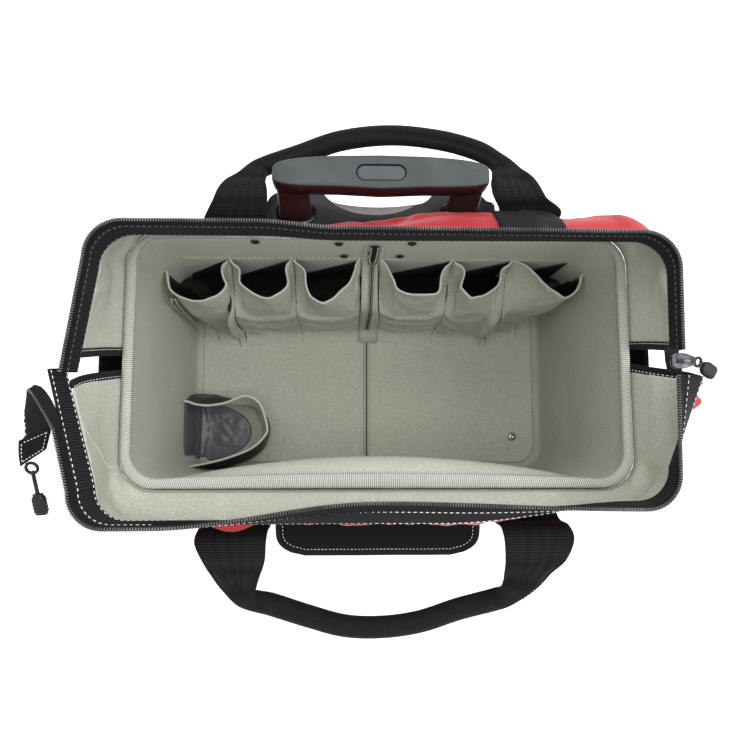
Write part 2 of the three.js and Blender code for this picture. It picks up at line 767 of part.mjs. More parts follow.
function trolleyBezel() {
  const body = plate(bezelShape(0, 0), BEZEL_BOTTOM, BEZEL_TOP, 5);
  const collars = [-1, 1].map((side) =>
    plate(stadium(COLLAR.half, COLLAR.reach, TUBE_Y), BEZEL_TOP - 4, COLLAR.top, 5)
      .translate(side * TUBE_X, 0, 0));
  const scoop = new THREE.SphereGeometry(1, 40, 32)
    .scale(SCOOP.half, SCOOP.reach, SCOOP.reach)
    .translate(SCOOP.x, SCOOP.y, SCOOP.z);
  return cut(join(body, ...collars), scoop, ...tubeHole(MIDDLE_TUBE.radius + 0.4));
}

function trolleySleeve() {
  const body = plate(bezelShape(-4, 0), 36, BEZEL_BOTTOM - GAP, 4);
  return cut(body, plate(bezelShape(-4 - SLEEVE_WALL, SLEEVE_WALL), 30, BEZEL_TOP, 4));
}

function tube(size, side) {
  const geometry = turned([
    [size.bore, size.bottom],
    [size.radius, size.bottom],
    [size.radius, size.top],
    [size.bore, size.top],
    [size.bore, size.bottom],
  ], 16);
  return geometry.translate(side * TUBE_X, TUBE_Y, 0);
}

const BUTTON = { half: 21, reach: 6.6, y: 158.5, depth: 4.4 };

function trolleyGrip() {
  const bar = new THREE.Shape();
  bar.moveTo(-86, 144.6);
  bar.lineTo(86, 144.6);
  bar.quadraticCurveTo(94, 145, 94, 153);
  bar.quadraticCurveTo(94, 169, 82, 171);
  bar.quadraticCurveTo(0, 180, -82, 170);
  bar.quadraticCurveTo(-94, 168, -94, 153);
  bar.quadraticCurveTo(-94, 145, -86, 144.6);
  const legs = [-1, 1].map((side) => {
    const rows = [
      { y: TUBE_Y, z: LEG_BOTTOM, half: 15, depth: 9.5 },
      { y: TUBE_Y + 4, z: 322, half: 14.5, depth: 9 },
      { y: 157, z: GRIP_BOTTOM + 3, half: 15, depth: 9.5 },
    ];
    return skin(rows.map((row) => {
      const x = side * TUBE_X;
      const d = row.depth;
      const w = row.half;
      const outline = [
        [-w, -d + 4], [-w + 4, -d], [w - 4, -d], [w, -d + 4],
        [w, d - 4], [w - 4, d], [-w + 4, d], [-w, d - 4],
      ];
      return outline.map(([dx, dy]) => at(x + dx, row.y + dy, row.z));
    }));
  });
  const grip = join(plate(bar, GRIP_BOTTOM, GRIP_TOP, 5), ...legs);
  const well = plate(
    stadium(BUTTON.half + 0.5, BUTTON.reach + 0.5, BUTTON.y),
    GRIP_TOP - 8,
    GRIP_TOP + 5,
    4,
  );
  return cut(grip, well);
}

function trolleyButton() {
  const shape = stadium(BUTTON.half, BUTTON.reach, BUTTON.y);
  return plate(shape, GRIP_TOP - BUTTON.depth, GRIP_TOP - 0.4, 4);
}

// base, feet and wheels

function basePlate() {
  const rows = [
    { z: 12, inset: 10 },
    { z: 18, inset: 5 },
    { z: SHELL_BOTTOM - GAP, inset: 4.5 },
  ];
  return skin(rows.map((row) => bodyOutline(row.inset, BODY_CORNER - 4, row.z, 0)), { fan: true });
}

function foot(side) {
  const rows = [[0, 0], [15, 0], [17, 2], [19, 11.6], [0, 11.6]];
  return turned(rows, 20).translate(side * 190, -68, 0);
}

function floorRivet() {
  const z = SHELL_BOTTOM + SHELL_WALL + LINING_GAP + FLOOR_BOARD + GAP;
  return turned([[0, z], [5.5, z], [4.6, z + 1.4], [0, z + 2]], 14).translate(190, -68, 0);
}

const SCREWS = [
  { x: -115, z: 303 },
  { x: -37, z: 298 },
  { x: 32, z: 301 },
  { x: -32, z: 256 },
  { x: 24, z: 257 },
];

function liningScrew(row) {
  const wallY = BODY_BACK - SHELL_WALL - LINING_GAP - LINING_WALL - GAP;
  const geometry = turned([[0, 0], [4.2, 0], [3.6, 1.6], [0, 2.2]], 12);
  return geometry.rotateX(Math.PI / 2).translate(row.x, wallY, row.z);
}

function alongX(geometry, side) {
  return geometry.rotateY(Math.PI / 2).translate(side * WHEEL_X, WHEEL_Y, WHEEL_RADIUS);
}

function wheelTyre(side) {
  const w = WHEEL_WIDTH / 2;
  const r = WHEEL_RADIUS;
  const rows = [
    [HUB_RADIUS + 0.3, -w],
    [r - 3, -w],
    [r, -w + 4],
    [r, w - 4],
    [r - 3, w],
    [HUB_RADIUS + 0.3, w],
    [HUB_RADIUS + 0.3, -w],
  ];
  return alongX(turned(rows, 28), side);
}

function wheelHub(side) {
  const w = WHEEL_WIDTH / 2 - 0.5;
  const rows = [
    [AXLE_RADIUS + 0.25, -w],
    [8, -w],
    [9, -w + 3],
    [HUB_RADIUS - 2, -w + 3],
    [HUB_RADIUS, -w],
    [HUB_RADIUS, w],
    [HUB_RADIUS - 2, w - 3],
    [9, w - 3],
    [8, w],
    [AXLE_RADIUS + 0.25, w],
    [AXLE_RADIUS + 0.25, -w],
  ];
  return alongX(turned(rows, 20), side);
}

function wheelAxle(side) {
  const w = WHEEL_WIDTH / 2;
  const rows = [
    [0, -w - 8.5],
    [6.5, -w - 8.5],
    [6.5, -w - 6.4],
    [AXLE_RADIUS, -w - 6.4],
    [AXLE_RADIUS, w + 6.4],
    [6.5, w + 6.4],
    [6.5, w + 8.5],
    [0, w + 8.5],
  ];
  return alongX(turned(rows, 12), side);
}

function wheelHousing(side) {
  const shape = new THREE.Shape();
  const y0 = BODY_BACK + GAP;
  shape.moveTo(y0, 26);
  shape.lineTo(y0 + 72, 26);
  shape.quadraticCurveTo(y0 + 73, 74, y0 + 34, 77);
  shape.lineTo(y0, 86);
  shape.closePath();
  const w = WHEEL_WIDTH / 2 + 6;
  const solid = plate(shape, -w, w, 8);
  const turnedUp = solid.applyMatrix4(new THREE.Matrix4().makeBasis(at(0, 1, 0), at(0, 0, 1), at(1, 0, 0)));
  turnedUp.translate(side * WHEEL_X, 0, 0);
  const c = WHEEL_WIDTH / 2 + 2;
  const hollow = alongX(rod(WHEEL_RADIUS + 3.2, -c, c, 28), side);
  const drop = block(
    side * WHEEL_X - c,
    side * WHEEL_X + c,
    WHEEL_Y - WHEEL_RADIUS - 3.2,
    WHEEL_Y + WHEEL_RADIUS + 3.2,
    0,
    WHEEL_RADIUS,
  );
  const bore = alongX(rod(AXLE_RADIUS + 0.3, -60, 60, 16), side);
  return cut(turnedUp, hollow, drop, bore);
}

// assembly

const group = new THREE.Group();

function add(name, geometry, finish) {
  const material = new THREE.MeshStandardMaterial(COLOURS[finish]);
  const mesh = new THREE.Mesh(geometry, material);
  mesh.name = name;
  group.add(mesh);
}

add("outer_shell", outerShell(), "redCloth");
add("inner_lining", innerLining(), "greyLining");
add("wall_binding", wallBinding(), "paleBinding");
add("base_plate", basePlate(), "darkPlastic");

for (const half of ["back", "front"]) {
  add(`mouth_flap_${half}`, mouthFlap(half), "redCloth");
  add(`zip_rim_${half}`, zipRim(half), "blackCloth");
  add(`handle_${half}`, handle(half), "blackWebbing");
  for (const end of ["left", "right"]) {
    add(`notch_binding_${end}_${half}`, notchBinding(half, end), "blackCloth");
  }
}

add("zipper_tail", ribbon(TAIL_ROWS, 3.4), "blackCloth");
add("zipper_end_tab", ribbon(TAB_ROWS, 4), "blackCloth");
add("zip_pull_left", zipPull(at(-282, -93, 358), at(-281, -129, 345), 5.5), "darkPlastic");
add("zip_slider_right", block(219, 237, -14.5, -2, 404.6, 411), "steel");
add("zip_pull_right", zipPull(at(241, -7, 404), at(260, -17, 396), 5.5), "darkPlastic");

TOOL_POCKETS.forEach((row, i) => add(`tool_pocket_${i + 1}`, toolPocket(row), "greyLining"));
add("corner_pocket", cornerPocket(), "greyLining");
add("floor_rivet", floorRivet(), "steel");
SCREWS.forEach((row, i) => add(`lining_screw_${i + 1}`, liningScrew(row), "darkPlastic"));

add("front_pocket", frontPocket(), "blackCloth");
add("front_pocket_flap", frontPocketFlap(), "blackCloth");

add("trolley_sleeve", trolleySleeve(), "blackCloth");
add("trolley_bezel", trolleyBezel(), "darkPlastic");
add("trolley_grip", trolleyGrip(), "darkPlastic");
add("trolley_button", trolleyButton(), "greyPlastic");

for (const [end, side] of [["left", -1], ["right", 1]]) {
  add(`side_pocket_${end}`, sidePocket(end), "blackCloth");
  add(`foot_${end}`, foot(side), "rubber");
  add(`outer_tube_${end}`, tube(OUTER_TUBE, side), "steel");
  add(`middle_tube_${end}`, tube(MIDDLE_TUBE, side), "steel");
  add(`inner_tube_${end}`, tube(INNER_TUBE, side), "steel");
  add(`wheel_housing_${end}`, wheelHousing(side), "darkPlastic");
  add(`wheel_tyre_${end}`, wheelTyre(side), "rubber");
  add(`wheel_hub_${end}`, wheelHub(side), "greyPlastic");
  add(`wheel_axle_${end}`, wheelAxle(side), "steel");
}

// the frame's origin is the middle of the bag's underside
const reach = new THREE.Box3().setFromObject(group);
const middle = reach.getCenter(new THREE.Vector3());
for (const mesh of group.children) {
  mesh.geometry.translate(-middle.x, -middle.y, -reach.min.z);
}

export default group;
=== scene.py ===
from math import copysign, cos, pi, radians, sin

import bmesh
import bpy
from mathutils import Matrix, Vector, noise


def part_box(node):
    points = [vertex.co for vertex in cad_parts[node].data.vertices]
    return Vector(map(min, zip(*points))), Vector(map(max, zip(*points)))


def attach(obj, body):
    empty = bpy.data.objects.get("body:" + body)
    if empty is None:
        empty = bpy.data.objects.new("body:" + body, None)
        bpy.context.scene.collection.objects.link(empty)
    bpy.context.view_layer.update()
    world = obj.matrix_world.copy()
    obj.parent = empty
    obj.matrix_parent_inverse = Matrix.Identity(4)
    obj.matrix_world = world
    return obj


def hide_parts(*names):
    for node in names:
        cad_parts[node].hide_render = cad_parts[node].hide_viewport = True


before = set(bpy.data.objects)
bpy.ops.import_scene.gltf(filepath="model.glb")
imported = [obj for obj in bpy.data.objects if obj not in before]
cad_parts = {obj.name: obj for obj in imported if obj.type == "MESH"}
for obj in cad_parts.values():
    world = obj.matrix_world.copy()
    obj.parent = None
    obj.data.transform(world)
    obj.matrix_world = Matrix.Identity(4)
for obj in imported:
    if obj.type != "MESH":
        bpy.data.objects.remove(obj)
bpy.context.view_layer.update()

scene = bpy.context.scene
shellLow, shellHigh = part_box("outer_shell")
bagMiddle = Vector(((shellLow.x + shellHigh.x) / 2, shellLow.y + 0.116, 0.0))
halves = (("back", 1), ("front", -1))
ends = (("left", -1), ("right", 1))
print("frame loaded,", len(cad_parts), "nodes")


# small helpers; sizes below are millimetres from the middle of the mouth, floor at 0

def spot(x, y, z):
    return Vector((x / 1000 + bagMiddle.x, y / 1000 + bagMiddle.y, z / 1000))


def mix(a, b, f):
    return a + (b - a) * f


def clamp(f):
    return min(max(f, 0.0), 1.0)


def ease(f):
    f = clamp(f)
    return f * f * (3 - 2 * f)


def hump(f, width):
    return max(0.0, 1 - (f / width) ** 2) ** 2


def rumple(p, size, seed=0.0):
    return noise.noise(Vector((p[0] / size + seed, p[1] / size - seed, p[2] / size)))


def rowsOf(columns, rows):
    names = columns.split()
    return [dict(zip(names, row)) for row in rows]


def readRows(rows, key, value):  # every column, read smoothly between the rows
    last = len(rows) - 1
    i = 0
    while i < last - 1 and value > rows[i + 1][key]:
        i += 1
    low, high = rows[i], rows[i + 1]
    before, after = rows[max(i - 1, 0)], rows[min(i + 2, last)]
    span = high[key] - low[key]
    f = (value - low[key]) / span
    g = clamp(f)
    found = {}
    for name in low:
        a, b = low[name], high[name]
        into = (b - before[name]) / (high[key] - before[key]) * span
        out = (after[name] - a) / (after[key] - low[key]) * span
        curve = (2 * g ** 3 - 3 * g * g + 1) * a + (g ** 3 - 2 * g * g + g) * into
        curve += (3 * g * g - 2 * g ** 3) * b + (g ** 3 - g * g) * out
        found[name] = curve + (f - g) * (into if f < 0 else out)
    return found


def runLength(points):
    return sum((Vector(b) - Vector(a)).length for a, b in zip(points, points[1:]))


def gridMesh(table):  # rows of points become one sheet, its UV map in millimetres
    rows, columns = len(table) - 1, len(table[0]) - 1
    bm = bmesh.new()
    weave = bm.loops.layers.uv.new("weave")
    bmesh.ops.create_grid(bm, x_segments=columns, y_segments=rows, size=0.5, calc_uvs=True)
    for v in bm.verts:
        i, j = round((v.co.x + 0.5) * columns), round((v.co.y + 0.5) * rows)
        v.co = spot(*table[j][i])
    wide = runLength(table[rows // 2])
    tall = runLength([row[columns // 2] for row in table])
    for face in bm.faces:
        for loop in face.loops:
            u, v = loop[weave].uv
            loop[weave].uv = (u * wide, v * tall)
    return bm


def closeMesh(bm, below=None):  # weld the seam, then fill the open ends, or only those under a height
    bmesh.ops.remove_doubles(bm, verts=bm.verts, dist=1e-6)
    rims = [e for e in bm.edges if e.is_boundary and (below is None or e.verts[0].co.z < below / 1000)]
    if rims:
        bmesh.ops.holes_fill(bm, edges=rims, sides=0)
    bmesh.ops.recalc_face_normals(bm, faces=bm.faces)
    return bm


def normalAt(table, i, j):
    m, n = len(table) - 1, len(table[0]) - 1
    east = Vector(table[j][min(i + 1, n)]) - Vector(table[j][max(i - 1, 0)])
    north = Vector(table[min(j + 1, m)][i]) - Vector(table[max(j - 1, 0)][i])
    return east.cross(north).normalized()


def thickMesh(table, half):  # closed body round a middle sheet; half(i, j) is half its thickness
    m, n = len(table) - 1, len(table[0]) - 1
    front = [[None] * (n + 1) for _ in range(m + 1)]
    back = [[None] * (n + 1) for _ in range(m + 1)]
    for j in range(m + 1):
        for i in range(n + 1):
            p, out = Vector(table[j][i]), normalAt(table, i, j)
            front[j][i] = p + out * half(i, j)
            back[j][i] = p - out * half(i, j)
    return closeMesh(gridMesh(front + back[::-1] + [front[0]]))


def sweepMesh(stations, section):  # stations are centre, across and up; section(k) a loop of offsets
    loops = []
    for k, (centre, across, up) in enumerate(stations):
        loops.append([centre + across * a + up * b for a, b in section(k)])
    count = len(loops[0])
    return closeMesh(gridMesh([[loop[j % count] for loop in loops] for j in range(count + 1)]))


def roundLoop(width, thick, power, count):  # a flat loop with round ends
    loop = []
    for k in range(count):
        a = 2 * pi * k / count
        x = copysign(abs(cos(a)) ** (2 / power), cos(a)) * width / 2
        y = copysign(abs(sin(a)) ** (2 / power), sin(a)) * thick / 2
        loop.append((x, y))
    return loop


def turnedMesh(profile, centre, axis, steps):  # profile is (radius, along the axis)
    bm = bmesh.new()
    turn = Vector((0, 0, 1)).rotation_difference(Vector(axis)).to_matrix().to_4x4()
    verts = [bm.verts.new((r / 1000, 0, h / 1000)) for r, h in profile]
    edges = [bm.edges.new(pair) for pair in zip(verts, verts[1:])]
    bmesh.ops.spin(bm, geom=verts + edges, cent=(0, 0, 0), axis=(0, 0, 1), dvec=(0, 0, 0),
                   angle=2 * pi, steps=steps, use_merge=True, use_duplicate=False)
    bmesh.ops.remove_doubles(bm, verts=bm.verts, dist=1e-6)
    bmesh.ops.recalc_face_normals(bm, faces=bm.faces)
    bmesh.ops.transform(bm, matrix=Matrix.Translation(spot(*centre)) @ turn, verts=bm.verts)
    return bm


def plateMesh(outline, low, high, edge):  # a flat outline drawn up, its edges rounded
    bm = bmesh.new()
    face = bm.faces.new([bm.verts.new(spot(x, y, low)) for x, y in outline])
    made = bmesh.ops.extrude_face_region(bm, geom=[face])["geom"]
    top = [v for v in made if isinstance(v, bmesh.types.BMVert)]
    bmesh.ops.translate(bm, verts=top, vec=(0, 0, (high - low) / 1000))
    bmesh.ops.recalc_face_normals(bm, faces=bm.faces)
    rims = [e for e in bm.edges if abs(e.verts[0].co.z - e.verts[1].co.z) < 1e-6]
    bmesh.ops.bevel(bm, geom=rims, offset=edge / 1000, offset_type="OFFSET", affect="EDGES",
                    segments=3, profile=0.5, material=-1)
    return bm


def joinMesh(parts):
    whole = bmesh.new()
    for part in parts:
        held = bpy.data.meshes.new("held")
        part.to_mesh(held)
        part.free()
        whole.from_mesh(held)
        bpy.data.meshes.remove(held)
    return whole


def beadRow(line, pitch, size, detail=1):  # beads laid along points with their normals
    bm = bmesh.new()
    want, gone = pitch / 2, 0.0
    for (p, out), (q, _) in zip(line, line[1:]):
        step = (q - p).length
        while step > 0 and want <= gone + step:
            along = (q - p).normalized()
            side = out.cross(along).normalized()
            up = along.cross(side)
            place = Matrix.Translation(spot(*p.lerp(q, (want - gone) / step)))
            axes = Matrix((along * size[0], side * size[1], up * size[2])).transposed() * 0.001
            bmesh.ops.create_icosphere(bm, subdivisions=detail, radius=0.5,
                                       matrix=place @ axes.to_4x4())
            want += pitch
        gone += step
    return bm


def lineOn(table, f, lift):  # a line along a sheet at a share of its height, off its face by lift
    m, n = len(table) - 1, len(table[0]) - 1
    j = min(int(f * m), m - 1)
    line = []
    for i in range(n + 1):
        out = normalAt(table, i, j)
        p = Vector(table[j][i]).lerp(Vector(table[j + 1][i]), f * m - j)
        line.append((p + out * lift, out * copysign(1, lift)))
    return line


def addPiece(name, bm, finishes, stands=(), body="bag", crisp=None):
    mesh = bpy.data.meshes.new(name)
    bm.to_mesh(mesh)
    bm.free()
    for finish in finishes:
        mesh.materials.append(finish)
    mesh.shade_smooth()
    if crisp:
        mesh.set_sharp_from_angle(angle=radians(crisp))
    piece = bpy.data.objects.new(name, mesh)
    scene.collection.objects.link(piece)
    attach(piece, body)
    if stands:
        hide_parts(*stands)
    return piece


def addWall(piece, thick, offset=0.0, finishStep=0):
    wall = piece.modifiers.new("wall", "SOLIDIFY")
    wall.thickness = thick / 1000
    wall.offset = offset
    wall.material_offset = wall.material_offset_rim = finishStep
    return wall


def soften(piece):
    rounder = piece.modifiers.new("soften", "SUBSURF")
    rounder.levels = rounder.render_levels = 1


def carve(piece, cutters):  # holes and hollows cut out, the result kept in the mesh
    tools = []
    for bm in cutters:
        data = bpy.data.meshes.new("cutter")
        bm.to_mesh(data)
        bm.free()
        for finish in piece.data.materials:
            data.materials.append(finish)
        for face in data.polygons:
            face.material_index = 1
        tools.append(bpy.data.objects.new("cutter", data))
        scene.collection.objects.link(tools[-1])
        hollow = piece.modifiers.new("hollow", "BOOLEAN")
        hollow.object, hollow.operation, hollow.solver = tools[-1], "DIFFERENCE", "EXACT"
    shaped = bpy.data.meshes.new_from_object(piece.evaluated_get(bpy.context.evaluated_depsgraph_get()))
    piece.modifiers.clear()
    piece.data = shaped
    for tool in tools:
        bpy.data.objects.remove(tool)
    shaped.shade_smooth()
    shaped.set_sharp_from_angle(angle=radians(35))


def settle(piece, sewn, recipe):  # cloth simulation between sewn edges, its result kept in the mesh
    group = piece.vertex_groups.new(name="sewn")
    group.add(sewn, 1.0, "REPLACE")
    before = [(v.co.copy(), v.normal.copy()) for v in piece.data.vertices]
    cloth = piece.modifiers.new("settle", "CLOTH")
    cloth.settings.vertex_group_mass = "sewn"
    cloth.settings.quality = 6
    cloth.settings.mass = 0.2
    cloth.settings.tension_stiffness = cloth.settings.compression_stiffness = recipe["stiff"]
    cloth.settings.bending_stiffness = recipe["bend"]
    cloth.settings.shrink_min = -recipe["slack"]
    cloth.settings.effector_weights.gravity = recipe["gravity"]
    cloth.point_cache.frame_start, cloth.point_cache.frame_end = 1, recipe["frames"]
    for f in range(1, recipe["frames"] + 1):
        scene.frame_set(f)
    settled = piece.evaluated_get(bpy.context.evaluated_depsgraph_get()).data
    after = [v.co.copy() for v in settled.vertices]
    piece.modifiers.remove(cloth)
    scene.frame_set(1)
    cap = recipe["cap"] / 1000
    outward = recipe.get("outward", recipe["cap"]) / 1000
    for v, (a, normal), b in zip(piece.data.vertices, before, after):
        move = b - a
        move -= normal * max(0.0, move.dot(normal) - outward)
        v.co = a + move * min(1.0, cap / max(move.length, 1e-9))
    piece.vertex_groups.remove(group)


# finishes

class Thread:  # a socket that can be used in sums
    def __init__(self, tree, socket=None):
        self.tree = tree
        self.socket = socket

    def make(self, kind, settings=None, inputs=None, out=0):
        node = self.tree.nodes.new(kind)
        for name, value in (settings or {}).items():
            setattr(node, name, value)
        for name, value in (inputs or {}).items():
            if isinstance(value, Thread):
                self.tree.links.new(value.socket, node.inputs[name])
            else:
                node.inputs[name].default_value = value
        return Thread(self.tree, node.outputs[out])

    def sums(self, operation, a, b=0.0):
        return self.make("ShaderNodeMath", {"operation": operation}, {0: a, 1: b})

    def __add__(self, other):
        return self.sums("ADD", self, other)

    def __radd__(self, other):
        return self.sums("ADD", other, self)

    def __mul__(self, other):
        return self.sums("MULTIPLY", self, other)

    def sine(self):
        return self.sums("SINE", self)

    def between(self, low, high):
        return self.make("ShaderNodeMapRange", {"clamp": True},
                         {"Value": self, "From Min": low, "From Max": high})

    def tint(self, first, second):
        return self.make("ShaderNodeMix", {"data_type": "RGBA"}, {0: self, 6: first, 7: second}, 2)

    def speckle(self, size, detail=3.0):
        return self.make("ShaderNodeTexNoise", {}, {"Vector": self, "Scale": size, "Detail": detail})


def newFinish(name, roughness, metallic=0.0):
    finish = bpy.data.materials.new(name)
    finish.use_nodes = True
    shader = finish.node_tree.nodes["Principled BSDF"]
    shader.inputs["Roughness"].default_value = roughness
    shader.inputs["Metallic"].default_value = metallic
    return finish, shader, Thread(finish.node_tree)


def feed(shader, name, thread):
    thread.tree.links.new(thread.socket, shader.inputs[name])


def rgb(r, g, b):  # a shade seen in daylight, 0 to 255, as a shader colour
    return tuple(((c / 255 + 0.055) / 1.055) ** 2.4 if c > 10 else c / 3294 for c in (r, g, b)) + (1.0,)


def clothFinish(name, look):  # plain weave on the sheet's own millimetres
    finish, shader, start = newFinish(name, look["rough"])
    flat = start.make("ShaderNodeUVMap", {"uv_map": "weave"})
    here = start.make("ShaderNodeTexCoord", out=3)
    parts = [start.make("ShaderNodeSeparateXYZ", {}, {0: flat}, k) for k in (0, 1)]
    turns = 2 * pi / look["yarn"]
    warp, weft = (parts[0] * turns).sine(), (parts[1] * turns).sine()
    weave = warp * weft * 0.5 + 0.5
    slub = here.speckle(look["slub"], 2.0)
    patch = here.speckle(look["patch"], 4.0)
    shade = (weave * look["contrast"] + slub * look["fleck"] + patch * look["mottle"]).between(
        0.0, look["contrast"] + look["fleck"] + look["mottle"])
    feed(shader, "Base Color", shade.tint(look["dark"], look["light"]))
    feed(shader, "Roughness", look["rough"] - 0.12 + patch * 0.24)
    height = weave * 0.6 + slub * 0.5
    bump = start.make("ShaderNodeBump", {},
                      {"Strength": look["bump"], "Distance": 0.0004, "Height": height})
    feed(shader, "Normal", bump)
    shader.inputs["Sheen Weight"].default_value = look["sheen"]
    shader.inputs["Specular IOR Level"].default_value = look["gloss"]
    return finish


def ribFinish(name, look):  # ribbed tape: bands across the run, each rib painted lighter on top as a painted highlight and darker between ribs as painted shade
    finish, shader, start = newFinish(name, look["rough"])
    flat = start.make("ShaderNodeUVMap", {"uv_map": "weave"})
    here = start.make("ShaderNodeTexCoord", out=3)
    along = start.make("ShaderNodeSeparateXYZ", {}, {0: flat}, 0)
    across = start.make("ShaderNodeSeparateXYZ", {}, {0: flat}, 1)
    slub = here.speckle(1100.0, 2.0)
    crown = (along * (2 * pi / look["pitch"]) + pi / 2).sine() * 0.5 + 0.5
    yarn = (across * (2 * pi / look["yarn"])).sine() * 0.5 + 0.5
    patch = here.speckle(45.0, 3.0)
    shade = crown * look["crown"] + yarn * (0.7 - look["crown"]) + slub * 0.2 + patch * 0.1
    feed(shader, "Base Color", shade.between(0.1, 0.95).tint(look["dark"], look["light"]))
    feed(shader, "Roughness", look["rough"] - 0.1 + slub * 0.2)
    bump = start.make("ShaderNodeBump", {}, {
        "Strength": 0.5, "Distance": 0.0003, "Height": yarn * 0.5 + slub * 0.5})
    feed(shader, "Normal", bump)
    shader.inputs["Sheen Weight"].default_value = 0.03
    shader.inputs["Specular IOR Level"].default_value = 0.1
    return finish


def mouldedFinish(name, look):  # plastic, rubber or metal with a fine grain and worn patches
    finish, shader, start = newFinish(name, look["rough"], look.get("metal", 0.0))
    here = start.make("ShaderNodeTexCoord", out=3)
    grain = here.speckle(look["grain"], 2.0)
    wear = here.speckle(look.get("patch", 26.0), 5.0)
    feed(shader, "Base Color",
         (wear * 0.8 + grain * 0.2).between(0.3, 0.7).tint(look["dark"], look["light"]))
    feed(shader, "Roughness", look["rough"] - 0.1 + wear * 0.2)
    bump = start.make("ShaderNodeBump", {}, {
        "Strength": look["bump"], "Distance": 0.0003, "Height": grain})
    feed(shader, "Normal", bump)
    shader.inputs["Specular IOR Level"].default_value = 0.35
    return finish


def finishRow(maker, columns, rows):  # finishes of one kind, from a table of their looks
    made = []
    for name, *values in rows:
        look = dict(zip(columns.split(), values))
        look["dark"], look["light"] = rgb(*look["dark"]), rgb(*look["light"])
        made.append(maker(name, look))
    return made


canvas, redCloth, blackCloth, coatedClothPaintedShade, crumpledCoat, lipTape = finishRow(
    clothFinish, "dark light yarn contrast fleck mottle patch slub rough bump sheen gloss", [
        ("liningCanvas", (142, 145, 132), (216, 218, 204), 1.3, 0.4, 1.3, 0.4, 14.0, 430.0, 0.88, 0.45, 0.1,
         0.2),
        ("redShellCloth", (138, 12, 22), (188, 30, 40), 1.1, 0.6, 0.4, 0.3, 20.0, 900.0, 0.62, 0.3, 0.1,
         0.35),
        ("blackPocketCloth", (8, 8, 10), (25, 25, 28), 1.1, 0.5, 0.5, 0.3, 18.0, 900.0, 0.75, 0.35, 0.02,
         0.1),
        # coated pocket backing: a dark coating made darker still, as painted shade for the deep pocket insides
        ("coatedPocketBacking", (18, 18, 21), (38, 38, 42), 1.3, 0.2, 0.2, 0.8, 24.0, 900.0, 0.42, 0.12,
         0.0, 0.5),
        ("crumpledCoating", (62, 62, 66), (112, 112, 118), 1.3, 0.2, 0.2, 0.8, 30.0, 900.0, 0.36, 0.12, 0.0,
         0.5),
        ("pocketLipTape", (172, 174, 166), (212, 214, 206), 0.9, 0.3, 0.4, 0.3, 30.0, 900.0, 0.85, 0.2, 0.1,
         0.2)])
paleBinding, ribbon, webbing, zipTape = finishRow(ribFinish, "dark light pitch yarn crown rough", [
    ("paleRibBinding", (106, 108, 100), (220, 222, 214), 2.2, 1.0, 0.6, 0.85),
    ("blackRibbon", (3, 3, 4), (44, 45, 47), 1.9, 0.9, 0.55, 0.7),
    ("blackWebbing", (2, 2, 3), (33, 34, 36), 2.1, 1.0, 0.5, 0.72),
    ("zipTape", (10, 10, 11), (34, 33, 35), 1.0, 0.8, 0.3, 0.8)])
(zipCoil, darkPlastic, gripPlastic, buttonPlastic, legPlasticAndGripShade, cupPlastic, scoopPlastic, sliderMetal, steel,
 rubber,
 whiteThread, paleThread, dimThread) = finishRow(mouldedFinish, "dark light grain rough bump metal patch", [
     # the coil's light grey is a painted highlight on black coil teeth
     ("zipCoil", (40, 40, 42), (128, 128, 130), 900.0, 0.3, 0.1),
     ("darkPlastic", (20, 20, 21), (36, 36, 38), 1400.0, 0.42, 0.15),
     ("gripPlastic", (46, 49, 50), (69, 73, 74), 1600.0, 0.5, 0.25),
     ("buttonPlastic", (57, 63, 66), (76, 82, 85), 1500.0, 0.45, 0.15),
     # dark brownish plastic of the legs, also used as painted shade on the grip's front and underside
     ("gripUnderside", (26, 18, 20), (44, 32, 34), 1600.0, 0.38, 0.15),
     ("glossyCollar", (6, 6, 7), (13, 13, 14), 1500.0, 0.2, 0.05),
     ("scoopPlastic", (112, 111, 112), (150, 149, 150), 1500.0, 0.4, 0.1),
     ("darkSlider", (16, 16, 18), (104, 104, 108), 500.0, 0.34, 0.1, 0.9, 160.0),
     ("drawnSteel", (150, 152, 155), (196, 198, 200), 700.0, 0.32, 0.05, 1.0),
     ("wheelRubber", (20, 20, 20), (38, 38, 38), 1200.0, 0.8, 0.3),
     ("whiteThread", (206, 206, 202), (246, 246, 242), 2200.0, 0.8, 0.3),
     ("paleThread", (200, 200, 188), (240, 240, 230), 2200.0, 0.85, 0.3),
     ("dimThread", (70, 70, 70), (120, 120, 118), 2200.0, 0.85, 0.3)])
print("finishes ready")


# camera and light

view = {"place": (-29, -63.5, 896), "turn": (6.0, -1.6, 0.0), "lens": 32.05}
camera = bpy.data.objects.new("camera", bpy.data.cameras.new("camera"))
camera.location = spot(*view["place"])
camera.rotation_euler = [radians(a) for a in view["turn"]]
camera.data.lens = view["lens"]
scene.collection.objects.link(camera)
scene.camera = camera

studio = {"sky": 0.98, "lamps": [
    ((800, -60, 1350), 0.7, 6.5), ((60, 850, 1450), 1.1, 9.0), ((0, -90, 1500), 0.5, 4.2)]}
world = bpy.data.worlds.new("studio")
world.use_nodes = True
world.node_tree.nodes["Background"].inputs["Color"].default_value = (1.0, 1.0, 1.0, 1.0)
world.node_tree.nodes["Background"].inputs["Strength"].default_value = studio["sky"]
scene.world = world
for number, (place, across, power) in enumerate(studio["lamps"]):
    lamp = bpy.data.objects.new(f"softbox{number}", bpy.data.lights.new(f"softbox{number}", "AREA"))
    lamp.data.size, lamp.data.energy = across, power
    lamp.location = spot(*place)
    lamp.rotation_euler = (spot(0, 0, 200) - lamp.location).to_track_quat("-Z", "Y").to_euler()
    scene.collection.objects.link(lamp)
scene.view_settings.view_transform = "Standard"

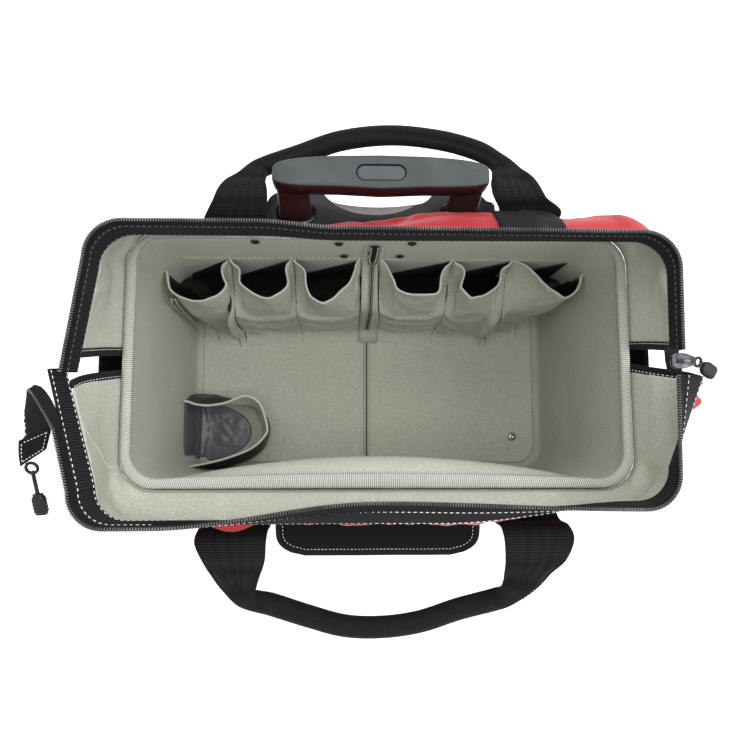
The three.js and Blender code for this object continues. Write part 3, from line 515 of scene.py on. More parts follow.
floorMesh = bmesh.new()
bmesh.ops.create_grid(floorMesh, x_segments=2, y_segments=2, size=6.0)
paleFloor, floorShader, _ = newFinish("paleFloor", 0.9)
floorShader.inputs["Base Color"].default_value = (0.94, 0.94, 0.94, 1.0)
floorShader.inputs["Emission Color"].default_value = (1.0, 1.0, 1.0, 1.0)
floorShader.inputs["Emission Strength"].default_value = 0.4
floorData = bpy.data.meshes.new("floor")
floorMesh.to_mesh(floorData)
floorMesh.free()
floorData.materials.append(paleFloor)
floorPiece = bpy.data.objects.new("floor", floorData)
scene.collection.objects.link(floorPiece)
print("camera, light and floor set")


# body outline, walked round from the middle of the front; inset is from the shell's outside

body = {"halfLength": 232, "front": 116, "back": 122, "corner": 32, "pad": 24, "wallTop": 309}
ringRuns = [197, 44, 168, 44, 394, 44, 168, 44, 197]
padRows = rowsOf("z share", [
    (30, 0.08), (34, 0.1), (110, 0.3), (190, 0.55), (250, 0.85), (284, 1), (302, 0.55), (309, 0.22),
    (318, 0.2)])


def ringSpot(u, inset, pad):
    halfX, front, back = body["halfLength"] - inset, inset - body["front"], body["back"] - inset
    r = max(body["corner"] - inset * 0.6, 4)
    ex = halfX - r
    walk = (u % 1.0) * sum(ringRuns)
    k = 0
    while walk > ringRuns[k] and k < 8:
        walk -= ringRuns[k]
        k += 1
    f = walk / ringRuns[k]
    if k in (0, 8):
        x = ex * f if k == 0 else mix(-ex, 0, f)
        share = (x + ex) / (2 * ex)
        return x, front + pad * max(0.0, sin(pi * share)) ** 0.75
    if k % 2:
        quarter = (k - 1) // 2
        cx = ex if quarter in (0, 1) else -ex
        cy = back - r if quarter in (1, 2) else front + r
        a = pi / 2 * (quarter - 1 + f)
        return cx + r * cos(a), cy + r * sin(a)
    if k == 2:
        return halfX, mix(front + r, back - r, f)
    if k == 4:
        return mix(ex, -ex, f), back
    return -halfX, mix(back - r, front + r, f)


# padded lining walls: up the inside, over the top and down behind

lining = {"inset": 7.0, "back": 2.6, "floor": 33.0, "rows": 34, "around": 168, "cove": 12, "dent": 1.6}
profile = []
for k in range(lining["rows"] + 1):
    z = mix(lining["floor"], body["wallTop"] - 0.2, k / lining["rows"])
    bend = clamp((lining["floor"] + lining["cove"] - z) / lining["cove"])
    profile.append((z, lining["inset"] + lining["cove"] * (1 - (1 - bend * bend) ** 0.5), 1.0))
profile += [(body["wallTop"] - 0.2, lining["back"], 0.0), (180, lining["back"], 0.0)]
profile += [(45, lining["back"], 0.0), (36, lining["back"] + 3, 0.0), profile[0]]
table = []
for j, (z, inset, inside) in enumerate(profile):
    row = []
    for i in range(lining["around"] + 1):
        u = i % lining["around"] / lining["around"]
        pad = readRows(padRows, "z", z)["share"] * body["pad"] * inside
        if inside and 0 < j <= lining["rows"]:
            calm = hump((z - 170) / 150, 1.0)
            x, y = ringSpot(u, inset, pad)
            soft = rumple((x, y, z), 70, 3.1) * lining["dent"] + rumple((x, y, z), 24, 8.4) * 0.35
            x, y = ringSpot(u, inset + soft * calm, pad)
        else:
            x, y = ringSpot(u, inset, pad)
        row.append((x, y, z))
    table.append(row)
walls = addPiece("lining_walls", closeMesh(gridMesh(table)), [canvas, coatedClothPaintedShade],
                 ["inner_lining"])
# faces low on the back wall and in the back corners, behind the tool pockets, take the dark coated cloth as painted
# shade for the deep pocket insides
for face in walls.data.polygons:
    x, y, z = (face.center - spot(0, 0, 0)) * 1000
    face.material_index = int(y > (112 if abs(x) < 200 else 101) and z < 172)
soften(walls)

# lining floor, a soft covered board with a rolled seam across its middle
floorCloth = {"level": 33.6, "thick": 6.4, "inset": 8.5, "columns": 64, "rows": 32}


def roundedBoard(a, b, inset):  # a square grid, -1 to 1, drawn out to the rounded body outline
    halfX, halfY = body["halfLength"] - inset, (body["front"] + body["back"]) / 2 - inset
    r = body["corner"] - inset * 0.6
    x, y = a * halfX, b * halfY
    dx, dy = abs(x) - (halfX - r), abs(y) - (halfY - r)
    if dx > 0 and dy > 0:
        reach = max(dx, dy)
        scale = reach / max((dx * dx + dy * dy) ** 0.5, 1e-6)
        x = copysign(halfX - r + dx * scale, x)
        y = copysign(halfY - r + dy * scale, y)
    return x, y + (body["back"] - body["front"]) / 2


table = []
for j in range(floorCloth["rows"] + 1):
    row = []
    for i in range(floorCloth["columns"] + 1):
        a, b = 2 * i / floorCloth["columns"] - 1, 2 * j / floorCloth["rows"] - 1
        x, y = roundedBoard(a, b, floorCloth["inset"])
        calm = clamp(1 - max(abs(a), abs(b)) ** 6)
        z = floorCloth["level"] + calm * (rumple((x, y, 0), 80, 5.0) * 1.4 + rumple((x, y, 0), 26,
                                                                                    1.7) * 0.3)
        z += 2.5 * max(abs(a), abs(b)) ** 12 - 1.2 * hump(x, 14) * clamp((y + 100) / 20)
        row.append((x, y, z))
    table.append(row)
board = addPiece("lining_floor", gridMesh(table), [canvas], ["inner_lining"])
addWall(board, floorCloth["thick"], -1.0)
print("lining made")

# rolled seam from the floor, up the middle of the pocket strip and the back wall
backWall = 114.6
seamLine = {"x": -3.0, "front": -96, "turn": 10, "top": 300, "panel": 41, "panelTop": 236, "slotFrom": 230}


def panelOut(z):  # how far the strip's middle stands off the back wall
    return mix(seamLine["panel"], 0.6, ease((z - 168) / 66))


foot = backWall - seamLine["panel"] - seamLine["turn"]
route = [Vector((seamLine["x"], y, 35.2)) for y in range(seamLine["front"], int(foot), 6)]
route += [Vector((seamLine["x"], foot + seamLine["turn"] * sin(a), 45.2 - 10 * cos(a)))
          for a in (0.2, 0.5, 0.8, 1.1, 1.4)]
route += [Vector((seamLine["x"] + rumple((0, 0, z), 60) * 1.5, backWall - 1.2 - panelOut(z), z))
          for z in range(50, seamLine["top"], 5)]


def slotHalf(p):  # the groove opens to a slot on the back wall, its dark a painted shade
    return mix(0.9, 3.8, ease((p.z - seamLine["slotFrom"]) / 14))


stations, threads = [], {-1: [], 1: []}
for k, p in enumerate(route):
    along = (route[min(k + 1, len(route) - 1)] - route[max(k - 1, 0)]).normalized()
    across = Vector((1, 0, 0))
    stations.append((p, across, across.cross(along)))
    for sign in (-1, 1):
        threads[sign].append((p + across * sign * (slotHalf(p) + 4.2) - across.cross(along) * 0.1,
                              across.cross(along)))


def seamLoop(k):
    g = slotHalf(route[k])
    right = [(g, -0.6), (g + 0.3, 1.1), (g + 1.2, 1.7), (g + 2.2, 0.9), (g + 2.6, -0.8)]
    return [(-a, b) for a, b in right[::-1]] + right


seam = addPiece("lining_seam", sweepMesh(stations, seamLoop), [canvas, blackCloth])
# faces down in the groove and the slot take black cloth: painted shade in the crease
for face in seam.data.polygons:
    p = (face.center - spot(0, 0, 0)) * 1000
    inside = abs(p.x - seamLine["x"]) < slotHalf(p) - 0.2 + 1.5 * (p.z > 60)
    face.material_index = int(inside and abs(face.normal.x) < 0.7)
soften(seam)
seamThread = [beadRow(line, 3.2, (2.2, 1.1, 0.8)) for line in threads.values()]
addPiece("seam_stitches", joinMesh(seamThread), [paleThread])
rows = []
for z in (241.0, 246.5):
    for x0, x1 in ((-196, -8), (9, 196)):
        rows.append(beadRow([(Vector((mix(x0, x1, k / 40), backWall + 0.1, z)), Vector((0, -1, 0)))
                             for k in range(41)], 3.4, (2.4, 1.2, 0.8)))
addPiece("wall_stitches", joinMesh(rows), [paleThread])


# ribbed binding on the wall top

binding = {"inset": 3.8, "wide": 9.0, "back": 4.6, "pad": 5.3, "low": 309.7, "high": 317.3, "pitch": 1.9,
           "rib": 0.34}
bindRun = sum(ringRuns) * 1.012
bindRibs = round(bindRun / binding["pitch"])
bindAround = bindRibs * 4


def bindSpot(u, share):  # between a rail over the shell and one over the padded wall
    outside = Vector(ringSpot(u, binding["inset"], 0))
    inside = Vector(ringSpot(u, binding["inset"] + binding["wide"], binding["pad"]))
    narrow = Vector(ringSpot(u, binding["inset"] + binding["back"], 0))
    return outside.lerp(inside.lerp(narrow, clamp((outside.y - 88) / 28)), share)


bindLoop = []
for k in range(12):
    a = 2 * pi * k / 12
    bindLoop.append((copysign(abs(cos(a)) ** 0.6, cos(a)), copysign(abs(sin(a)) ** 0.6, sin(a))))
table = []
for a, b in bindLoop + bindLoop[:1]:
    row = []
    for i in range(bindAround + 1):
        u = i % bindAround / bindAround
        turn = 2 * pi * i / 4 + (0.9 if a < -0.3 else 0.0)
        swell = 1 + binding["rib"] / 5 * cos(turn) + 0.05 * rumple((u * 60, 0, 0), 1.0)
        x, y = bindSpot(u, (1 + a * 0.94 * swell) / 2)
        z = (binding["low"] + binding["high"]) / 2 + (binding["high"] - binding["low"]) / 2 * b * 0.9 * swell
        row.append((x, y, z + rumple((x, y, 0), 90, 2.0) * 0.8))
    table.append(row)
addPiece("wall_binding_tape", closeMesh(gridMesh(table)), [paleBinding], ["wall_binding"])
print("binding made,", bindRibs, "ribs")


# outer shell, red, standing round the lining

shell = {"bottom": 24.6, "wall": 1.5, "around": 160, "rows": 26}
profile = [(shell["bottom"], 110), (shell["bottom"], 60), (shell["bottom"], 20), (shell["bottom"], 6)]
profile += [(shell["bottom"] + 2, 2.4), (shell["bottom"] + 8, 0.8)]
for k in range(1, shell["rows"] + 1):
    profile.append((mix(shell["bottom"] + 8, body["wallTop"] - 0.4, k / shell["rows"]), 0.8))
table = []
for z, inset in profile:
    row = []
    for i in range(shell["around"] + 1):
        u = i % shell["around"] / shell["around"]
        x, y = ringSpot(u, inset, 0)
        calm = hump((z - 165) / 145, 1.0)
        x, y = ringSpot(u, inset + calm * (rumple((x, y, z), 60, 9.0) + 0.6) * 0.6, 0)
        row.append((x, y, z))
    table.append(row)
shellPiece = addPiece("shell_cloth", closeMesh(gridMesh(table), 30), [redCloth, blackCloth, canvas, canvas],
                      ["outer_shell"])
for face in shellPiece.data.polygons:
    face.material_index = int(abs(face.center.x - bagMiddle.x) > 0.222)
addWall(shellPiece, shell["wall"], -1.0, 2)
print("shell made")


# mouth halves: long edge, corners and the two short ends at the notches

mouthColumns = "z left right edgeLeft edgeMid edgeRight from to corner endLeftX endLeftY endRightX endRightY"
mouthRows = {
    "back": rowsOf(mouthColumns, [
        (310, -231, 231, 120.9, 120.9, 120.9, 0, 0.3, 31, -231, 13.5, 231, 20.5),
        (338, -235, 235, 117, 130, 129, 0.4, 0.62, 33, -235, 10, 235, 17),
        (364, -231, 236, 108, 119, 118, 0.4, 0.62, 32, -237, 6, 235, 13),
        (384, -227, 232, 95, 92, 93, 0.25, 0.41, 29, -237, 3, 232, 10)]),
    "front": rowsOf(mouthColumns, [
        (310, -231, 231, 114.9, 114.9, 114.9, 0, 0.3, 31, -231, -14.5, 231, -7.8),
        (338, -232, 233, 133, 135, 122, 0, 0.62, 32, -237, -19, 240, -14),
        (364, -226, 229, 136, 138, 121, 0, 0.62, 30, -242, -24, 253, -20),
        (384, -222, 226, 131, 133, 117, 0, 0.62, 27, -243, -29.5, 254, -25)])}
zipRows = {
    "back": rowsOf(mouthColumns, [
        (384, -227, 232, 95, 92, 93, 0.25, 0.41, 29, -240, -16, 231, 2),
        (404, -232, 233.5, 101, 96, 95, 0.25, 0.41, 28, -245, -18, 232, 1)]),
    "front": rowsOf(mouthColumns, [
        (384, -222, 226, 131, 133, 117, 0, 0.62, 27, -249, -12, 257, -18),
        (404, -236, 225, 134, 115, 121, 0.08, 0.5, 27, -260, -14, 226, -18)])}
mouthShares = (0.121, 0.189, 0.811)  # where the left end, its corner and the long edge stop


def edgeReach(row, f):  # distance of the long edge from the middle plane at a share of its run
    if f < row["to"]:
        return mix(row["edgeLeft"], row["edgeMid"], ease((f - row["from"]) / (row["to"] - row["from"])))
    return mix(row["edgeMid"], row["edgeRight"], ease((f - row["to"]) / (1 - row["to"])))


def mouthSpot(row, side, u):
    a, b, c = mouthShares
    if u > c:
        x, y, edge, out = row["endRightX"], row["endRightY"], row["edgeRight"], 1
        flank, v = row["right"], 1 - u
    else:
        x, y, edge, out = row["endLeftX"], row["endLeftY"], row["edgeLeft"], -1
        flank, v = row["left"], u
    straight = side * (edge - row["corner"])
    if v < a:
        return mix(x, flank, v / a), mix(y, straight, v / a)
    if v < b:
        turn = pi / 2 * (v - a) / (b - a)
        return (flank - out * row["corner"] * (1 - cos(turn)), straight + side * row["corner"] * sin(turn))
    f = (u - b) / (c - b)
    return mix(row["left"] + row["corner"], row["right"] - row["corner"], f), side * edgeReach(row, f)


def mouthTable(rows, side, columns, levels, first=0.0):
    table = []
    for z in levels:
        row = readRows(rows, "z", z)
        table.append([(*mouthSpot(row, side, mix(first, 1.0, i / columns)), z) for i in range(columns + 1)])
    return table


# flaps: sewn at the wall, the zipper and the notches, slack between
flap = {"columns": 132, "rows": 16, "low": 309.5, "high": 384.2, "thick": 2.0, "lap": 0.5, "peek": 14.0,
        "cut": {"back": (0.655, 0.098), "front": (0.70, 0.092)}}
slackCloth = {"stiff": 12, "bend": 0.6, "slack": 0.035, "gravity": 0.15, "frames": 22, "cap": 5.0,
              "outward": 0.3}
flapSwells = {"back": [], "front": rowsOf("share spread z height out", [
    (0.31, 0.045, 377, 8, 8.0), (0.51, 0.13, 358, 24, -6.0)])}
flapTables = {}
for half, side in halves:
    levels = [mix(flap["low"], flap["high"], k / flap["rows"]) for k in range(flap["rows"] + 1)]
    table = mouthTable(mouthRows[half], side, flap["columns"], levels)
    for j, row in enumerate(table):
        loose = sin(pi * j / flap["rows"])
        for i, p in enumerate(row):
            out = normalAt(table, i, j) * loose * ease(min(i, flap["columns"] - i) / 9)
            row[i] = tuple(Vector(p) + out * (rumple(p, 38, 4.2) * 2.2 + rumple(p, 15, 6.6) * 0.7))
            swell = sum(w["out"] * hump(i / flap["columns"] - w["share"], w["spread"]) * hump(p[2] - w["z"],
                                                                                              w["height"])
                        for w in flapSwells[half])
            row[i] = (row[i][0], row[i][1] + side * swell, row[i][2])
            if half == "front":
                peek = flap["peek"] * hump(p[2] - 374, 9) * hump(i / flap["columns"] - 0.972, 0.016)
                row[i] = (row[i][0] + peek, *row[i][1:])
        for end, inner in ((0, 1), (-1, -2)):
            row[end] = tuple(Vector(row[end]) + (Vector(row[end]) - Vector(row[inner])).normalized() * flap["lap"])
    sheet = gridMesh(table)
    if half == "back":
        bmesh.ops.reverse_faces(sheet, faces=sheet.faces)
    piece = addPiece(f"flap_{half}", sheet, [redCloth, canvas], [f"mouth_flap_{half}"])
    edgeVerts = [v.index for v in piece.data.vertices
                 if v.index // (flap["columns"] + 1) in (0, flap["rows"])
                 or v.index % (flap["columns"] + 1) in (0, 1, flap["columns"] - 1, flap["columns"])]
    settle(piece, edgeVerts, slackCloth)
    across = flap["columns"] + 1
    places = [tuple((v.co - bagMiddle) * 1000) for v in piece.data.vertices]
    flapTables[half] = [places[k:k + across] for k in range(0, len(places), across)]
    addWall(piece, flap["thick"], 0.0, 1)
    soften(piece)


# seams sewn across the front flap: a dart by each corner and the boxes that hold the handle
def flapSpot(f, z):  # on the inner face of the front flap
    table = flapTables["front"]
    u, v = f * flap["columns"], clamp((z - flap["low"]) / (flap["high"] - flap["low"])) * flap["rows"]
    i, j = min(int(u), flap["columns"] - 1), min(int(v), flap["rows"] - 1)
    low, high = (Vector(table[k][i]).lerp(Vector(table[k][i + 1]), u - i) for k in (j, j + 1))
    out = normalAt(table, i, j)
    return low.lerp(high, v - j) - out * 1.3, -out


sewnBox = {"low": 319, "high": 347, "wide": 0.034, "pitch": 3.0, "size": (2.4, 1.0, 0.8)}
sewnLines = [((0.055, 379), (0.128, 316)), ((0.945, 379), (0.868, 316))]
for f in (0.262, 0.707):
    corners = [(f - sewnBox["wide"], sewnBox["low"]), (f + sewnBox["wide"], sewnBox["low"]),
               (f + sewnBox["wide"], sewnBox["high"]), (f - sewnBox["wide"], sewnBox["high"])]
    sewnLines += list(zip(corners, corners[1:] + corners[:1])) + [(corners[0], corners[2]),
                                                                  (corners[1], corners[3])]
rows = []
for (f0, z0), (f1, z1) in sewnLines:
    line = [flapSpot(mix(f0, f1, k / 24), mix(z0, z1, k / 24)) for k in range(25)]
    rows.append(beadRow(line, sewnBox["pitch"], sewnBox["size"]))
addPiece("flap_stitches", joinMesh(rows), [paleThread])
print("mouth flaps made")


# zipper bands: ribbed ribbon folded over the flap edge, tape above it, teeth on the tape

band = {"ribs": 340, "low": 384.3, "high": 404.0, "tailShare": 0.06, "ribbonShare": 0.002, "insideTo": 0.24,
        "ribbonTop": 0.69, "tapeLow": 0.6, "rib": 0.3, "columns": 330, "chain": 0.985}
stitch = {"pitch": 4.6, "size": (3.3, 0.95, 0.7)}


def bandTable(half, side, columns, shares, first):  # rows of the band at shares of its height
    levels = [mix(band["low"], band["high"], f) for f in shares]
    return mouthTable(zipRows[half], side, columns, levels, first)


def bandLine(table, f, lift):  # a line along the band at a share of its height
    pairs = zip(lineOn(table, 0.0, lift), lineOn(table, 1.0, lift))
    return [(p.lerp(q, f), out) for (p, out), (q, _) in pairs]


for half, side in halves:
    columns = band["ribs"] * 4
    shares = [0.0, 0.015, 0.05, 0.16, 0.3, 0.44, 0.58, 0.66, 0.685, band["ribbonTop"]]
    start = band["ribbonShare"] if half == "front" else 0.0
    table = bandTable(half, side, columns, shares, start)
    ribbonThick = [0.5, 1.15, 1.4, 1.55, 1.6, 1.6, 1.55, 1.4, 1.15, 0.9]
    tape = thickMesh(table,
                     lambda i, j: ribbonThick[j] + band["rib"] * cos(2 * pi * i / 4) * (0.2 < j / 9 < 0.9))
    addPiece(f"zip_ribbon_{half}", tape, [ribbon], [f"zip_rim_{half}"])
    shares = [band["tapeLow"], 0.7, 0.8, 0.9, 0.94, 0.96, 0.985, 1.0]
    first = band["tailShare"] if half == "front" else 0.0
    table = bandTable(half, side, band["columns"], shares, first)
    tapeThick = [0.6, 0.75, 0.75, 0.75, 0.8, 1.2, 1.25, 0.7]
    addPiece(f"zip_tape_{half}", thickMesh(table, lambda i, j: tapeThick[j]), [zipTape],
             [f"zip_rim_{half}"])
    fine = bandTable(half, side, band["columns"], (0.0, 1.0), start)
    rows = []
    for f, lift in ((0.075, 1.5), (0.63, 1.5), (0.075, -1.5), (0.63, -1.5)):
        line = bandLine(fine, f, lift)
        if lift < 0 and half == "front":
            line = line[:int(len(line) * band["insideTo"])]
        rows.append(beadRow(line, stitch["pitch"], stitch["size"]))
    thread = whiteThread if half == "front" else dimThread
    addPiece(f"zip_stitches_{half}", joinMesh(rows), [thread])
    fine = bandTable(half, side, band["columns"], (0.0, 1.0), first)
    edge = bandLine(fine, band["chain"], 1e-6)
    addPiece(f"zip_teeth_{half}", beadRow(edge, 2.05, (1.35, 3.6, 3.5), 2), [zipCoil])
print("zipper bands made")

# black tape bound over the slanting edges of the notches
notch = {"width": 7.4, "low": 310.8, "high": 384.0, "steps": 40}
for half, toward in (("back", -1), ("front", 1)):
    for end, out in ends:
        name = "endLeft" if end == "left" else "endRight"
        stations, line = [], []
        for k in range(notch["steps"] + 1):
            z = mix(notch["low"], notch["high"], k / notch["steps"])
            row = readRows(mouthRows[half], "z", z)
            x, y = row[name + "X"] + out * 0.9, row[name + "Y"] + toward * (0.3 + notch["width"] / 2)
            stations.append((Vector((x, y, z)), Vector((0, toward, 0)), Vector((out, 0, 0))))
            line.append(Vector((x, y - toward * 1.9, z)))
        loop = roundLoop(notch["width"], 2.4, 4, 16)
        strip = sweepMesh(stations, lambda k: [(a, b * (1 + 0.12 * cos(k * pi))) for a, b in loop])
        addPiece(f"notch_tape_{end}_{half}", strip, [ribbon],
                 [f"notch_binding_{end}_{half}"])
        rows = [beadRow([(p + Vector((s * 1.35, 0, 0)), Vector((s, 0, 0))) for p in line], 4.4,
                        (3.0, 0.9, 0.7))
                for s in (-1, 1)]
        addPiece(f"notch_stitches_{end}_{half}", joinMesh(rows), [whiteThread])
print("notches bound")


# zipper tail past the left end, its folded tab and pull

tailRows = rowsOf("run cx cy cz hx hy hz", [
    (0, -270.5, -29.5, 395.6, -272, -35, 388.5), (1, -272, -31, 394, -277, -38, 385),
    (2, -264, -41, 392, -280, -50, 381),
    (3, -256, -54, 389, -281, -63, 376), (4, -262, -65, 383, -286, -76, 370)])
looseRows = rowsOf("run cx cy cz hx hy hz", [
    (0, -248.6, -60.6, 402, -242.5, -59.4, 398), (1, -251, -56.5, 401, -246.8, -47, 400.3),
    (2, -258, -46.5, 398.8, -252.5, -37, 400), (3, -267, -34, 397, -259.5, -29, 399),
    (4, -271, -30.5, 396, -265.5, -26.8, 397.5)])
tabRows = rowsOf("run cx cy cz hx hy hz", [
    (0, -256.5, -58.5, 386, -285.5, -69, 376), (1, -260.5, -67, 381, -287.5, -79, 371),
    (2, -264.5, -76, 376, -288, -89.5, 366)])


def ribbonTable(rows, columns, shares, ragged=0.0):
    table = []
    for f in shares:
        line = []
        for i in range(columns + 1):
            row = readRows(rows, "run", rows[-1]["run"] * i / columns)
            chain, hem = Vector((row["cx"], row["cy"], row["cz"])), Vector((row["hx"], row["hy"],
                                                                            row["hz"]))
            torn = ragged * f * (rumple((i * 1.0, 0, 0), 3.0) + 0.4 * rumple((i * 1.0, 5, 0), 1.2))
            line.append(chain.lerp(hem, f + torn))
        table.append(line)
    return table


shares = [0, 0.1, 0.25, 0.4, 0.55, 0.7, 0.85, 1]
table = ribbonTable(tailRows, 60, shares, 0.12)
addPiece("tail_tape", thickMesh(table, lambda i, j: 0.9 if 0 < j < 7 else 0.5), [zipTape],
         ["zipper_tail"])
table = ribbonTable(looseRows, 40, shares)
addPiece("tail_tape_loose", thickMesh(table, lambda i, j: 0.8 if 0 < j < 7 else 0.5), [zipTape],
         ["zipper_tail"])
addPiece("tail_teeth", beadRow(lineOn(table, 0.02, 0.3), 2.05, (1.35, 3.4, 3.4), 2), [zipCoil])
table = ribbonTable(tabRows, 40, shares)
addPiece("end_tab_cloth", thickMesh(table, lambda i, j: 1.9 if 0 < j < 7 else 1.1), [blackCloth],
         ["zipper_end_tab"])
rows = []
for lift in (2.0, -2.0):
    corners = [(0.14, 0.12), (0.14, 0.88), (0.88, 0.88), (0.88, 0.12), (0.14, 0.12)]
    for (u0, v0), (u1, v1) in zip(corners, corners[1:]):
        line = []
        for k in range(13):
            u, v = mix(u0, u1, k / 12), mix(v0, v1, k / 12)
            i, j = round(u * 40), min(int(v * 7), 6)
            out = normalAt(table, i, j)
            p = Vector(table[j][i]).lerp(Vector(table[j + 1][i]), v * 7 - j)
            line.append((p + out * lift, out * copysign(1, lift)))
        rows.append(beadRow(line, 3.4, (2.4, 0.8, 0.6)))
addPiece("end_tab_stitches", joinMesh(rows), [whiteThread])


def pullParts(start, end, ringSize, cordSize, gripSize,
              strands):  # ring, cord loop and ribbed grip of a zipper pull
    a, b = Vector(start), Vector(end)
    along = (b - a).normalized()
    side = along.cross(Vector((0, 0, 1))).normalized()
    up = side.cross(along)
    parts = []
    loop = [(ringSize[1] * cos(t), ringSize[1] * sin(t)) for t in [2 * pi * k / 10 for k in range(10)]]
    ring = []
    for k in range(33):
        t = 2 * pi * k / 32
        out = along * cos(t) + side * sin(t)
        ring.append((a + along * ringSize[0] + out * ringSize[0], out, up))
    parts.append(sweepMesh(ring, lambda k: loop))
    grip = (b - a).length - gripSize[2]
    for s in strands:
        cord = []
        for k in range(17):
            f = k / 16
            p = a + along * mix(ringSize[0] * 1.6, grip + 4,
                                f) + side * s * cordSize * (0.55 + 0.5 * sin(pi * f))
            cord.append((p, side, up))
        parts.append(sweepMesh(cord, lambda k: roundLoop(cordSize, cordSize, 2, 10)))
    block = []
    for k in range(25):
        f = k / 24
        block.append((a + along * mix(grip, (b - a).length, f), side, up))

    def gripLoop(k):
        f = k / 24
        size = mix(0.72, 1.0, ease(f / 0.25)) * mix(1.0, 0.86, ease((f - 0.85) / 0.15))
        size *= 1 + 0.05 * cos(2 * pi * f * 6)
        return roundLoop(gripSize[0] * size, gripSize[1] * size, 3.2, 20)
    parts.append(sweepMesh(block, gripLoop))
    return joinMesh(parts)


pull = {"ring": (4.6, 1.3), "cord": 3.2, "grip": (11.0, 7.0, 18.0)}
addPiece("pull_left",
         pullParts((-281, -87, 365), (-279, -129, 345), pull["ring"], pull["cord"], pull["grip"], (0,)),
         [darkPlastic], ["zip_pull_left"])
addPiece("pull_right",
         pullParts((240, -7, 404), (258, -17, 396), (3.4, 1.2), 2.0, (11.0, 7.0, 12.0), (-1, 1)),
         [darkPlastic], ["zip_pull_right"])

outline = [(219, -12), (222, -14.5), (230, -14), (237, -11.5), (237, -5), (230, -2.5), (222, -2),
           (219, -4.5)]
parts = [plateMesh(outline, 404.7, 406.6, 0.6), plateMesh(outline, 408.2, 410.0, 0.6)]
post = [(224, -10), (228, -10), (228, -6.5), (224, -6.5)]
parts.append(plateMesh(post, 406.0, 408.8, 0.3))
bridge = []
for k in range(15):
    t = pi * k / 14
    bridge.append((Vector((229 - 6.5 * cos(t), -8.25, 409.6 + 1.9 * sin(t))), Vector((0, 1, 0)),
                   Vector((-cos(t), 0, sin(t)))))
parts.append(sweepMesh(bridge, lambda k: roundLoop(3.6, 1.3, 3, 12)))
addPiece("slider_right", joinMesh(parts), [sliderMetal], ["zip_slider_right"], crisp=40)
joined = [(217.5, 2.2), (229, 2.2), (229, -6), (231, -16.5), (219.5, -16.5), (218, -8)]
addPiece("slider_tape", plateMesh(joined, 400.4, 402.2, 0.5), [zipTape], ["zip_rim_front"])
print("zipper ends made")


# webbing handles: sewn legs, a gather, then the folded and rolled grip

handleColumns = "reach shift left right z width thick flat"
handleRows = {
    "front": rowsOf(handleColumns, [
        (122, 2, 0, 0, 318, 56, 2.6, 1), (122, 2, 0, 0, 338, 56, 2.6, 1), (122, 2, 0, 0, 362, 56, 2.6, 1),
        (122, 2, 149, 147, 373, 56, 2.6, 1), (119.5, 2, 163, 163, 371, 49, 3, 1),
        (118, 0, 177, 177, 358, 39, 4.5, 1),
        (115.5, -1, 187, 187, 349, 30, 9, 0.7), (109, -3, 198, 197, 341, 18, 14, 0.3),
        (95, 3, 206, 203, 331, 18, 16, 0),
        (64, 3, 218, 213, 323, 18, 16, 0), (32, 2, 227, 224, 320, 18, 16, 0),
        (0, 2, 228.5, 228.5, 319, 18, 16, 0)]),
    "back": rowsOf(handleColumns, [
        (131, 3, 0, 0, 318, 56, 2.6, 1), (131, 3, 0, 0, 338, 56, 2.6, 1),
        (121, 0, 138, 142, 352, 46, 2.6, 1),
        (118, -1, 149, 155, 349, 40, 3.6, 1), (114.5, -0.5, 162, 169, 337, 27, 8, 0.8),
        (108, 1, 176, 183, 326, 18, 14, 0.3),
        (83, 9, 191, 197, 320, 18, 16, 0), (46, 10, 206, 208, 318, 18, 16, 0),
        (0, 10, 212, 212, 318, 18, 16, 0)])}
strap = {"pitch": 2.1, "rib": 0.28, "around": 36, "sewnGap": 3.3, "groove": 3.0, "fold": 2.2}


def carried(alongs, across):  # a width direction taken along a line without twisting
    held = []
    for along in alongs:
        across = (across - along * across.dot(along)).normalized()
        held.append(across)
    return held


